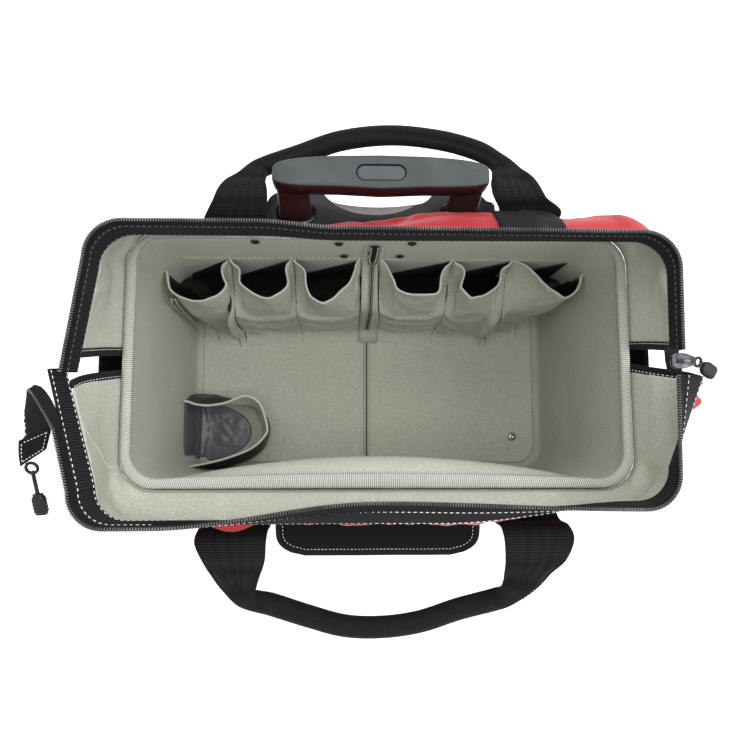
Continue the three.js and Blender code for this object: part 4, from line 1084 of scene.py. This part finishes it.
for half, side in halves:
    legs = {}
    for end, sign in ends:
        legs[end] = []
        for row in handleRows[half]:
            x = row["shift"] + sign * row["reach"]
            face = readRows(mouthRows[half], "z", row["z"])
            run = face["right"] - face["left"] - 2 * face["corner"]
            shares = [clamp((x + k * row["width"] - face["left"] - face["corner"]) / run)
                      for k in (-0.5, 0, 0.5)]
            sewn = max(edgeReach(face, f) for f in shares) + 1.1 + strap["sewnGap"]
            legs[end].append({"x": x, "y": side * (row[end] or sewn), "z": row["z"], "width": row["width"],
                              "thick": row["thick"], "flat": row["flat"]})
    rows = legs["left"] + legs["right"][-2::-1]
    run = 0.0
    for k, row in enumerate(rows):
        if k:
            was = rows[k - 1]
            run += Vector((row["x"] - was["x"], row["y"] - was["y"], row["z"] - was["z"])).length
        row["run"] = run
    count = round(run / strap["pitch"]) * 4
    found = [readRows(rows, "run", run * k / count) for k in range(count + 1)]
    path = [Vector((row["x"], row["y"], row["z"])) for row in found]
    alongs = [(path[min(k + 1, count)] - path[max(k - 1, 0)]).normalized() for k in range(count + 1)]
    fromLeft = carried(alongs, Vector((1, 0, 0)))
    fromRight = carried(alongs[::-1], Vector((-1, 0, 0)))[::-1]
    stations = []
    for k, along in enumerate(alongs):
        across = fromLeft[k].lerp(fromRight[k], ease((k / count - 0.4) / 0.2)).normalized()
        level = Vector((1 if k < count / 2 else -1, 0, 0))
        across = across.lerp(level, clamp(found[k]["flat"])).normalized()
        stations.append((path[k], across, across.cross(along).normalized()))

    def strapLoop(k):
        row = found[k]
        rolled = ease((56 - row["width"]) / 36)
        gather = sin(pi * rolled) if rolled < 1 else 0.0
        loop = []
        for a, b in roundLoop(row["width"], row["thick"], mix(7, 2.6, rolled), strap["around"]):
            f = a / (row["width"] / 2)
            up = copysign(1, b) if abs(b) > 0.2 * row["thick"] else b / (0.2 * row["thick"])
            rib = strap["rib"] * cos(2 * pi * k / 4) * up
            fold = gather * strap["fold"] * cos(f * 2.5 * pi + 0.6)
            groove = strap["groove"] * rolled ** 4 * hump(f + 0.08, 0.22) * (up > 0)
            loop.append((a, b + rib + fold - groove))
        return loop
    addPiece(f"handle_webbing_{half}", sweepMesh(stations, strapLoop), [webbing],
             [f"handle_{half}"])

# ends of the back webbing, sewn up the flap to the zipper
webEnd = {"reach": 127, "half": 28, "low": 330, "columns": 20, "off": 2.3, "thick": 1.2}
for end, sign in ends:
    table = []
    for j, row in enumerate(flapTables["back"]):
        if row[flap["columns"] // 2][2] < webEnd["low"]:
            continue
        line = []
        for k in range(webEnd["columns"] + 1):
            x = sign * webEnd["reach"] + mix(-webEnd["half"], webEnd["half"], k / webEnd["columns"])
            i = next(i for i in range(20, flap["columns"]) if row[i + 1][0] >= x)
            p = Vector(row[i]).lerp(Vector(row[i + 1]),
                                    clamp((x - row[i][0]) / (row[i + 1][0] - row[i][0])))
            out = normalAt(flapTables["back"], i, j)
            line.append(tuple(p + out * copysign(webEnd["off"], out.y)))
        table.append(line)
    addPiece(f"webbing_end_{end}", thickMesh(table, lambda i, j: webEnd["thick"]), [webbing],
             ["handle_back"])
print("handles made")


# inner pockets: sheets gathered at the bottom, bound at the mouth, coated inside, the coating darkened as painted
# shade

toolPockets = rowsOf("footLeft footRight low lowLeft lowRight pleat top", [
    (-206, -163, 48, 14, 46, 12, 231), (-162.9, -88, 45, 46, 43, 0, 234), (-87.9, -14, 44, 43, 41, 0, 234),
    (11.6, 84, 43, 41, 43, 0, 234), (84.1, 156, 46, 43, 46, 12, 233), (156.1, 205, 40, 46, 8, 0, 231)])
pocketLips = [
    [(-218, 12), (-216, 30), (-206, 39), (-186, 45), (-171, 42), (-159, 35), (-154, 26), (-158, 15),
     (-158, 7), (-151.1, 0.5)],
    [(-151, 0.5), (-142, 11), (-143, 19), (-142, 26), (-129, 36), (-116, 41), (-106, 41), (-92, 32),
     (-88, 24), (-91, 9),
     (-85.1, 0.5)],
    [(-85, 0.5), (-74, 10), (-73, 20), (-72, 29), (-67, 39), (-54, 46), (-43, 42), (-34, 34), (-25, 26),
     (-20, 16),
     (-15, 0.5)],
    [(5, 0.5), (11, 9), (18, 22), (22, 31), (35, 36), (61, 37), (70, 30), (70, 15), (73, 6), (81, 0.5)],
    [(81.1, 0.5), (93, 9), (91, 20), (90, 28), (99, 39), (105, 40), (118, 36), (130, 28), (134, 20),
     (134, 9), (143, 0.5)],
    [(143.1, 0.5), (157, 4), (169, 13), (180, 24), (194, 35), (202, 39), (213, 34), (219, 24), (220, 13)]]
pocketCloth = {"bottom": 32.6, "columns": 60, "rows": 40, "rise": 10, "dip": 3, "wall": 1.5, "hem": 2.3,
               "cove": 26,
               "coveOut": 18, "side": 0.2, "pleatAt": 0.86, "pleatHalf": 0.14, "pleatFoot": 34,
               "pleatFull": 95,
               "mouth": 234}
pocketSettle = {"stiff": 10, "bend": 0.4, "slack": 0.03, "gravity": 0.3, "frames": 20, "cap": 3.0}


def hemmedPiece(name, table, stands, recipe, sizes):
    columns, rows = len(table[0]) - 1, len(table) - 1
    sheet = gridMesh(table)
    piece = addPiece(name, sheet, [canvas, coatedClothPaintedShade, lipTape, lipTape], stands)
    sewn = [v.index for v in piece.data.vertices
            if v.index // (columns + 1) == 0 or v.index % (columns + 1) in (0, columns)]
    settle(piece, sewn, recipe)
    hem = piece.vertex_groups.new(name="hem")
    for v in piece.data.vertices:
        hem.add([v.index], 1.0 if v.index // (columns + 1) >= rows - 1 else sizes["wall"] / sizes["hem"],
                "REPLACE")
    for face in piece.data.polygons:
        face.material_index = 2 if min(face.vertices) // (columns + 1) >= rows - 1 else 0
    wall = addWall(piece, sizes["hem"], -1.0, 1)
    wall.vertex_group = "hem"
    soften(piece)
    return piece


for number, (row, lipPoints) in enumerate(zip(toolPockets, pocketLips)):
    lipRows = rowsOf("run x out", [(k, x, out) for k, (x, out) in enumerate(lipPoints)])
    table = []
    for j in range(pocketCloth["rows"] + 1):
        g = j / pocketCloth["rows"]
        if j >= pocketCloth["rows"] - 1:
            g = 1 - 0.013 * (pocketCloth["rows"] - j)
        line = []
        for i in range(pocketCloth["columns"] + 1):
            f = i / pocketCloth["columns"]
            lip = readRows(lipRows, "run", (len(lipRows) - 1) * f)
            stand = clamp(lip["out"] / 40)
            lipTop = row["top"] + pocketCloth["rise"] * (1 - stand) ** 2 - pocketCloth["dip"] * stand
            z = mix(pocketCloth["bottom"], lipTop, g)
            spread = ease((z - pocketCloth["mouth"] + 78) / 70)
            x = mix(mix(row["footLeft"], row["footRight"], f), lip["x"],
                    ease((z - pocketCloth["mouth"] + 150) / 142))
            low = mix(row["lowLeft"], row["low"], ease(f / pocketCloth["side"]))
            low = mix(low, row["lowRight"], ease((f - 1) / pocketCloth["side"] + 1))
            under = min(0.0,
                        (z - pocketCloth["pleatFull"]) / (pocketCloth["pleatFull"] - pocketCloth["pleatFoot"]))
            lens = 1 - ((f - pocketCloth["pleatAt"]) / pocketCloth["pleatHalf"]) ** 2 - under ** 2
            low += row["pleat"] * max(0.0, lens) ** 0.5
            low += pocketCloth["coveOut"] * clamp(1 - (z - pocketCloth["bottom"]) / pocketCloth["cove"]) ** 3
            crease = 1.6 * rumple((x, number * 50, z), 22, 2.2) + 1.2 * rumple((x, number * 50, z), 9, 5.1)
            depth = mix(low, lip["out"], spread) + crease * sin(pi * f)
            line.append((x, min(backWall - max(depth, 0.4), backWall - 0.02 * max(abs(x) - 196, 0) ** 2),
                         z))
        table.append(line)
    piece = hemmedPiece(f"pocket_cloth_{number + 1}", table, [f"tool_pocket_{number + 1}"], pocketSettle,
                        pocketCloth)
    across = sum(runLength(line) for line in table) / len(table)
    round(across / 1000, 3)
    round((row["top"] - 36) / 1000, 3)
table = []
for j in range(31):
    z = mix(pocketCloth["bottom"], seamLine["panelTop"], j / 30)
    right = mix(11.2, 3.6, ease((z - 84) / 142))
    cove = pocketCloth["coveOut"] * clamp(1 - (z - pocketCloth["bottom"]) / pocketCloth["cove"]) ** 3
    table.append([(x, backWall - panelOut(z) - cove - 0.6 * rumple((x, 0, z), 20), z)
                  for x in [mix(-13.6, right, k / 6) for k in range(7)]])
panel = addPiece("pocket_strip_middle", gridMesh(table), [canvas])
addWall(panel, 1.5, -1.0)
# dark coated sheets on the wall in each pocket; their top edge slants up to the right as a painted shadow cast by
# the pocket's side
shadowFacing = {"low": 60, "left": 178, "right": 236, "inset": 4.5, "half": 0.3, "off": 1.0}
parts = []
for lipPoints in pocketLips:
    x0, x1 = max(lipPoints[0][0], -208) + shadowFacing["inset"], min(lipPoints[-1][0], 206) - shadowFacing["inset"]
    table = [[(mix(x0, x1, i / 12), backWall - shadowFacing["off"],
               mix(shadowFacing["low"], mix(shadowFacing["left"], shadowFacing["right"], i / 12), g))
              for i in range(13)] for g in (0, 0.25, 0.5, 0.75, 1)]
    parts.append(thickMesh(table, lambda i, j: shadowFacing["half"]))
shadowFacings = addPiece("pocket_shadow_facings", joinMesh(parts), [coatedClothPaintedShade])

# two narrow tapes hanging by the first pocket
strand = {"wide": 2.4, "thick": 0.8}
strands = {"long": [(-208, 75, 226), (-212, 73.5, 190), (-214.5, 71, 130), (-215.5, 67.5, 75),
                    (-215, 65, 42)],
           "short": [(-211.5, 75.5, 225), (-216.5, 75, 205), (-219, 74, 175), (-217.5, 73, 146),
                     (-213, 72.5, 128)]}
for name, points in strands.items():
    rows = rowsOf("run x y z", [(k, *p) for k, p in enumerate(points)])
    path = [Vector((r["x"], r["y"], r["z"]))
            for r in (readRows(rows, "run", 4 * k / 40) for k in range(41))]
    stations = []
    for k, p in enumerate(path):
        along = (path[min(k + 1, 40)] - path[max(k - 1, 0)]).normalized()
        across = Vector((0.8, -0.6, 0)).cross(along).cross(along).normalized()
        stations.append((p, across, across.cross(along)))
    tape = addPiece(f"pocket_strand_{name}",
                    sweepMesh(stations, lambda k: roundLoop(strand["wide"], strand["thick"], 3, 10)),
                    [lipTape])
    tuple(spot(*points[0]))
    [tuple(spot(*p)) for p in path]
print("tool pockets made")

cornerCloth = {"bottom": 36.4, "columns": 60, "rows": 22, "wall": 1.5, "hem": 2.8}
cornerLip = rowsOf("run x y z", [
    (0, -224, -26, 118), (1, -212, -31, 116), (2, -194, -32, 115), (3, -171, -28, 118), (4, -149, -20, 121),
    (5, -133, -30, 120), (6, -125, -55, 117), (7, -128, -66, 116), (8, -143, -80, 116), (9, -170, -91, 117),
    (10, -192, -97, 118), (11, -223.6, -104, 119)])
table = []
for j in range(cornerCloth["rows"] + 1):
    g = j / cornerCloth["rows"]
    if j >= cornerCloth["rows"] - 1:
        g = 1 - 0.03 * (cornerCloth["rows"] - j)
    line = []
    for i in range(cornerCloth["columns"] + 1):
        f = i / cornerCloth["columns"]
        lip = readRows(cornerLip, "run", 11 * f)
        a = pi * f
        low = Vector((-224 + 84 * max(0.0, sin(a)) ** 0.8,
                      -61 + 44 * copysign(abs(cos(a)) ** 0.85, cos(a))))
        swell = low.lerp(Vector((-224 + 97 * max(0.0, sin(a)) ** 0.8,
                                 -61 + 46 * copysign(abs(cos(a)) ** 0.85, cos(a)))),
                         sin(pi * min(g * 1.1, 1.0)))
        spread = ease((g - 0.35) / 0.65)
        x, y = mix(swell.x, lip["x"], spread), mix(swell.y, lip["y"], spread)
        z = mix(cornerCloth["bottom"], lip["z"], g)
        soft = rumple((x, y, z), 26, 7.0) * 3.0 * sin(a) * (1 - g ** 4)
        line.append((max(x + soft, -224.2), max(y + soft * 0.6, -107.0), z))
    table.append(line)
cornerPiece = hemmedPiece("corner_pocket_cloth", table, ["corner_pocket"], pocketSettle, cornerCloth)
backing = {"columns": 44, "rows": 56, "top": 106, "wallShare": 0.45, "crumple": 5.0, "floor": 36.4}
table = []
for j in range(backing["rows"] + 1):
    g = j / backing["rows"]
    line = []
    for i in range(backing["columns"] + 1):
        y = mix(-98, -25, i / backing["columns"])
        reach = 70 * max(0.0, 1 - ((y + 61.5) / 38) ** 2) ** 0.5
        down, along = clamp(g / backing["wallShare"]), clamp((g - backing["wallShare"]) / (1 - backing["wallShare"]))
        x, z = -223.4 + reach * along, mix(backing["top"], backing["floor"], down)
        turn = hump(g - backing["wallShare"], 0.14)
        folds = abs(rumple((x, y, z), 17, 6.3)) + 0.5 * abs(rumple((x, y, z), 8, 2.9))
        lift = backing["crumple"] * folds * sin(pi * clamp(g)) * sin(pi * i / backing["columns"])
        line.append((x + lift * (1 - along) + 4 * turn, y, z + lift * along + 4 * turn))
    table.append(line)
cornerBack = addPiece("corner_pocket_backing", gridMesh(table[::-1]), [crumpledCoat],
                      ["corner_pocket"])
addWall(cornerBack, 0.8, 1.0)
print("corner pocket made")


# outside pockets in black cloth

def outsidePocket(name, node, levels, width, power, place):
    rows, columns = 26, 48
    table = []
    for j in range(rows + 1):
        g = j / rows if j < rows - 1 else 1 - 0.03 * (rows - j)
        z = mix(levels[0]["z"], levels[-1]["z"], g)
        swell = readRows(levels, "z", z)["swell"]
        line = []
        for i in range(columns + 1):
            a = pi * (1 - i / columns)
            u = width / 2 * copysign(abs(cos(a)) ** (2 / power), cos(a))
            v = max(0.0, sin(a)) ** (2 / power) * (swell + 1.6 * rumple((u, z, 0), 40, len(name)) - 1.2)
            line.append(place(u, v, z))
        table.append(line)
    sheet = gridMesh(table)
    piece = addPiece(name, sheet, [blackCloth, blackCloth, ribbon, ribbon], [node])
    for face in piece.data.polygons:
        face.material_index = 2 if min(face.vertices) // (columns + 1) >= rows - 1 else 0
    addWall(piece, 1.8, -1.0, 1)
    soften(piece)
    return piece


frontLevels = rowsOf("z swell", [(56, 40), (66, 52), (226, 54)])
pocketFront = outsidePocket("front_pocket_cloth", "front_pocket", frontLevels, 196, 7,
                            lambda u, v, z: (u, -116.6 - v, z))
for end, sign, top in (("left", -1, 30), ("right", 1, 28)):
    sideLevels = rowsOf("z swell", [(56, 15), (74, 24), (288, top)])
    sidePiece = outsidePocket(f"side_pocket_cloth_{end}", f"side_pocket_{end}", sideLevels, 150, 4,
                              lambda u, v, z: (sign * (232.6 + v), sign * u, z))

# front pocket flap with a bound edge and one white stitch line
cover = {"columns": 56, "rows": 18, "thick": 2.6, "reach": 66.5, "wall": -116.4, "top": 249.6, "middle": 2}
coverRows = rowsOf("reach drop half", [
    (0, 0, 99), (14, 0.6, 99), (44, 4, 99), (52, 6.6, 97.5), (58, 9, 93), (63, 12, 85), (66.5, 15, 72)])


def coverHeight(x, reach):
    row = readRows(coverRows, "reach", reach)
    f = clamp(abs(x - cover["middle"]) / row["half"])
    puff = 2.0 * (1 - f * f) * sin(pi * reach / cover["reach"]) + rumple((x, reach, 0), 30, 1.0) * 0.8
    return cover["top"] - row["drop"] + puff


table = []
for j in range(cover["rows"] + 1):
    reach = cover["reach"] * j / cover["rows"]
    row = readRows(coverRows, "reach", reach)
    line = []
    for i in range(cover["columns"] + 1):
        f = 2 * i / cover["columns"] - 1
        x = cover["middle"] + row["half"] * f
        line.append((x, cover["wall"] - reach, coverHeight(x, reach)))
    table.append(line)
coverPiece = addPiece("pocket_cover", gridMesh(table), [blackCloth], ["front_pocket_flap"])
addWall(coverPiece, cover["thick"])
soften(coverPiece)
coverEdge = [table[j][0] for j in range(cover["rows"])] + table[-1] + [table[j][-1]
        for j in range(cover["rows"] - 1, -1, -1)]
centre = Vector((cover["middle"], -145, 0))
bindStations, threadLine = [], []
edgePoints = [Vector(p) for p in coverEdge]
for k, p in enumerate(edgePoints):
    along = (edgePoints[min(k + 1, len(edgePoints) - 1)] - edgePoints[max(k - 1, 0)]).normalized()
    up = Vector((0, 0, 1))
    inward = along.cross(up).normalized()
    if inward.dot(Vector((centre.x - p.x, centre.y - p.y, 0))) < 0:
        inward = -inward
    bindStations.append((p + inward * 1.4, inward, up))
    thread = p + inward * 6.0
    reach = clamp((cover["wall"] - thread.y) / cover["reach"]) * cover["reach"]
    thread.z = coverHeight(thread.x, reach) + cover["thick"] / 2 + 0.3
    threadLine.append((thread, up))
edgeTape = sweepMesh(bindStations, lambda k: roundLoop(5.0, 4.0 + 0.3 * (k % 2), 3, 12))
addPiece("pocket_cover_edge", edgeTape, [ribbon])
addPiece("pocket_cover_stitches", beadRow(threadLine, 3.6, (2.6, 0.8, 0.6)), [whiteThread])
print("outside pockets made")


# trolley: cloth sleeve, bezel, tubes, grip and button

def bend(p, c, q, steps=6):  # points along a curve from p to q drawn toward c
    shares = [k / steps for k in range(1, steps + 1)]
    return [tuple((1 - t) ** 2 * p[n] + 2 * t * (1 - t) * c[n] + t * t * q[n] for n in (0, 1))
            for t in shares]


def bezelOutline(grow, away):  # slanting left end, stepped right end, finger notch at the back
    h, y0, y1, dip, side = 115 + grow, 122.4 + away, 163 + grow, 151 + grow, 52 - grow
    line = [(-h, y0), (h - 4, y0), (h - 4, 150 + grow)]
    for c, q in (((h - 4, 155 + grow), (h - 12, 156 + grow)), ((h - 17, y1), (h - 26, y1)),
                 (None, (side, y1)),
                 ((side - 5, dip + 2), (side - 16, dip + 1)), ((0, dip - 3), (16 - side, dip + 1)),
                 ((5 - side, dip + 2), (-side, y1)), (None, (26 - h, y1)),
                 ((15 - h, y1), (11 - h, 154 + grow)),
                 (None, (-h, 134 + grow))):
        line += bend(line[-1], c, q) if c else [q]
    return line


def stadiumSpot(a, half, reach, y):  # a long round-ended loop, walked by angle
    turn, flat = (a + pi / 3) % (2 * pi), half - reach
    if turn < 2 * pi / 3 or pi <= turn < 5 * pi / 3:
        right = turn < pi
        t = turn * 1.5 - pi / 2 if right else (turn - pi) * 1.5 + pi / 2
        return (flat if right else -flat) + reach * cos(t), y + reach * sin(t)
    if turn < pi:
        return mix(flat, -flat, turn * 3 / pi - 2), y + reach
    return mix(-flat, flat, turn * 3 / pi - 5), y - reach


scoop = {"place": (-3, 171, 352.6), "half": 100, "reach": 58.3}
bore = 9.8
tubeX, tubeY = 77, 142.5
bezel = addPiece("bezel_moulding", plateMesh(bezelOutline(0, 0), 287, 302.6, 1.2),
                 [darkPlastic, scoopPlastic],
                 ["trolley_bezel"])
cutters = [turnedMesh([(0.01, 0), (bore, 0), (bore, 40), (0.01, 40)], (sign * tubeX, tubeY, 275), (0, 0, 1),
                      48)
           for sign in (-1, 1)]
ball = bmesh.new()
scale = Matrix.Diagonal((scoop["half"] / 1000, scoop["reach"] / 1000, scoop["reach"] / 1000, 1))
bmesh.ops.create_uvsphere(ball, u_segments=96, v_segments=64, radius=1.0,
                          matrix=Matrix.Translation(spot(*scoop["place"])) @ scale)
carve(bezel, cutters + [ball])
collar = {"half": 19, "reach": 12.5, "low": 302.7, "high": 306.2, "around": 64}
for end, sign in ends:
    table = []
    for share, z in ((0, collar["low"]), (0, 305.4), (0.12, collar["high"]), (0.85, collar["high"]),
                     (0.96, 305.8),
                     (1, 305), (1, collar["low"]), (0, collar["low"])):
        line = []
        for i in range(collar["around"] + 1):
            a = 2 * pi * (i % collar["around"]) / collar["around"]
            x, y = stadiumSpot(a, collar["half"], collar["reach"], tubeY)
            line.append((sign * tubeX + mix(bore * cos(a), x, share), mix(tubeY + bore * sin(a), y, share),
                         z))
        table.append(line)
    addPiece(f"bezel_collar_{end}", closeMesh(gridMesh(table)), [cupPlastic],
             ["trolley_bezel"], crisp=40)

sleeveOut = bezelOutline(-4, 0.2)
table = []
for j in range(31):
    z = mix(36, 286.4, j / 30)
    line = []
    for x, y in sleeveOut:
        slack = rumple((x, y, z), 42, 3.0) * 1.4 * sin(pi * j / 30)
        line.append((x, y + slack * (y > 126), z))
    table.append(line + line[:1])
sleeve = addPiece("sleeve_cloth", closeMesh(gridMesh(table), 0), [blackCloth],
                  ["trolley_sleeve"])
addWall(sleeve, 1.8, -1.0)

tubes = {"outer": (11, 9.7, 40, 286.6), "middle": (9.3, 7.9, 43, 303.4), "inner": (7.5, 6.2, 46, 306.4)}
tubeBody = {"outer": "bag", "middle": "trolley_middle", "inner": "trolley_top"}
for kind, (radius, inner, low, high) in tubes.items():
    for end, sign in ends:
        e = 0.4
        ring = [(inner, low), (radius - e, low), (radius, low + e), (radius, high - e), (radius - e, high),
                (inner, high), (inner, low)]
        addPiece(f"{kind}_tube_wall_{end}", turnedMesh(ring, (sign * tubeX, tubeY, 0), (0, 0, 1), 40),
                 [steel],
                 [f"{kind}_tube_{end}"], tubeBody[kind], 35)

grip = {"half": 94, "front": 144.6, "back": 170.5, "bow": 4.8, "around": 96}
button = {"half": 21, "reach": 6.6, "y": 158.5}


def gripOutline(a, inset):
    c, s = cos(a), sin(a)
    x = (grip["half"] - inset) * copysign(abs(c) ** 0.34, c)
    middle, reach = (grip["front"] + grip["back"]) / 2, (grip["back"] - grip["front"]) / 2 - inset
    y = middle + reach * copysign(abs(s) ** 0.42, s)
    y += grip["bow"] * (1 - (x / grip["half"]) ** 2) * clamp(s * 3) - 1.8 * hump(x, 40) * clamp(-s * 3)
    return x, y


gripProfile = [(11.0, 340.2), (4.0, 340.2), (1.2, 341), (0.2, 343), (0, 350), (0.2, 357.2), (0.8, 359.2),
               (2.0, 360.4),
               (4.0, 360.9)]
table = []
for inset, z in gripProfile:
    table.append([(*gripOutline(2 * pi * (i % grip["around"]) / grip["around"], inset), z)
                  for i in range(grip["around"] + 1)])
for wider, z in ((1.6, 361.2), (0.8, 361.0), (0.5, 360.2), (0.5, 353.5)):
    table.append([(*stadiumSpot(2 * pi * (i % grip["around"]) / grip["around"], button["half"] + wider,
                                button["reach"] + wider, button["y"]), z)
                                for i in range(grip["around"] + 1)])
parts = [closeMesh(gridMesh(table))]
legRows = rowsOf("z y half depth", [
    (306.9, 142.5, 15, 9.5), (312, 143, 14.8, 9.3), (322, 146.5, 14.5, 9), (334, 153, 14.8, 9.2),
    (344, 157, 15.4, 9.5)])
for sign in (-1, 1):
    stations = []
    for k in range(25):
        row = readRows(legRows, "z", mix(306.9, 344, k / 24))
        stations.append((Vector((sign * tubeX, row["y"], row["z"])), Vector((1, 0, 0)), Vector((0, 1, 0))))

    def legLoop(k):
        row = readRows(legRows, "z", mix(306.9, 344, k / 24))
        return roundLoop(row["half"] * 2, row["depth"] * 2, 4, 32)
    parts.append(sweepMesh(stations, legLoop))
gripPiece = addPiece("grip_moulding", joinMesh(parts), [gripPlastic, legPlasticAndGripShade],
                     ["trolley_grip"],
                     "trolley_top", 50)
# legs keep their own dark brownish plastic; the grip's front-facing and downward faces take it too as painted shade
for face in gripPiece.data.polygons:
    face.material_index = int(face.normal.y < -0.6 or face.normal.z < -0.3 or face.center.z < 0.34)

table = []
for shrink, z in ((6.6, 356.6), (0.6, 356.6), (0, 357.4), (0, 359.6), (0.5, 360.3), (1.6, 360.6),
                  (4.0, 360.75), (6.6, 360.8)):
    table.append([(*stadiumSpot(2 * pi * (i % 64) / 64, button["half"] - shrink,
                                max(button["reach"] - shrink, 0.01),
                                button["y"]), z) for i in range(65)])
addPiece("button_cap", closeMesh(gridMesh(table)), [buttonPlastic], ["trolley_button"],
         "trolley_button", 50)
print("trolley made")


# wheels, feet and small fixings

for end, sign in ends:
    hub = (sign * 186, 156, 30)
    w = 13
    tyre = [(19.3, -w), (26, -w), (28.4, -w + 1.4), (29.6, -w + 3.6), (30, -w + 6)]
    tyre += [(30, -3.2), (29.1, -2.4), (29.1, -1.2), (30, -0.6), (30, 0.6), (29.1, 1.2), (29.1, 2.4),
             (30, 3.2)]
    tyre += [(30, w - 6), (29.6, w - 3.6), (28.4, w - 1.4), (26, w), (19.3, w), (19.3, -w)]
    addPiece(f"tyre_{end}", turnedMesh(tyre, hub, (1, 0, 0), 64), [rubber], [f"wheel_tyre_{end}"],
             f"wheel_{end}", 35)
    core = [(4.25, -12.5), (8, -12.5), (9, -9.5), (17, -9.5), (18.2, -12.2), (19, -12.5), (19, 12.5),
            (18.2, 12.2),
            (17, 9.5), (9, 9.5), (8, 12.5), (4.25, 12.5), (4.25, -12.5)]
    parts = [turnedMesh(core, hub, (1, 0, 0), 48)]
    for k in range(6):
        t = 2 * pi * k / 6
        spoke = Vector((0, cos(t), sin(t)))
        line = [(Vector(hub) + spoke * r, Vector((0, -sin(t), cos(t))), Vector((1, 0, 0)))
                for r in (8, 11, 14, 17.4)]
        parts.append(sweepMesh(line, lambda k: roundLoop(3.4, 22.4, 6, 16)))
    addPiece(f"hub_{end}", joinMesh(parts), [buttonPlastic], [f"wheel_hub_{end}"],
             f"wheel_{end}", 35)
    pin = [(0.01, -21.5), (5.6, -21.5), (6.5, -20.8), (6.5, -19.4), (4, -19.4), (4, 19.4), (6.5, 19.4),
           (6.5, 20.8),
           (5.6, 21.5), (0.01, 21.5)]
    addPiece(f"axle_{end}", turnedMesh(pin, hub, (1, 0, 0), 32), [steel], [f"wheel_axle_{end}"],
             crisp=35)
    pad = [(0.01, 0), (13.6, 0), (15.4, 0.6), (17, 2.4), (18.8, 10.6), (18.8, 11.6), (0.01, 11.6)]
    addPiece(f"foot_pad_{end}", turnedMesh(pad, (sign * 190, -68, 0), (0, 0, 1), 48), [rubber],
             [f"foot_{end}"], crisp=35)

rivet = [(0.01, 0), (5.5, 0), (5.3, 0.8), (4.2, 1.5), (2.4, 1.9), (1.9, 1.4), (0.01, 1.4)]
addPiece("rivet_cap", turnedMesh(rivet, (190, -68, 34.6), (0, 0, 1), 32), [steel], ["floor_rivet"],
         crisp=50)
screws = rowsOf("x z", [(-115, 303), (-37, 298), (32, 301), (-32, 256), (24, 257)])
for number, row in enumerate(screws):
    head = [(0.01, 0), (4.2, 0), (4.0, 0.9), (3.0, 1.7), (1.6, 2.1), (1.2, 1.2), (0.01, 1.2)]
    addPiece(f"screw_head_{number + 1}", turnedMesh(head, (row["x"], 114.2, row["z"]), (0, -1, 0), 28),
             [darkPlastic],
             [f"lining_screw_{number + 1}"], crisp=50)
for node in ("base_plate", "wheel_housing_left", "wheel_housing_right"):
    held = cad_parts[node].data
    held.materials.clear()
    held.materials.append(darkPlastic)
print("wheels and fixings made")
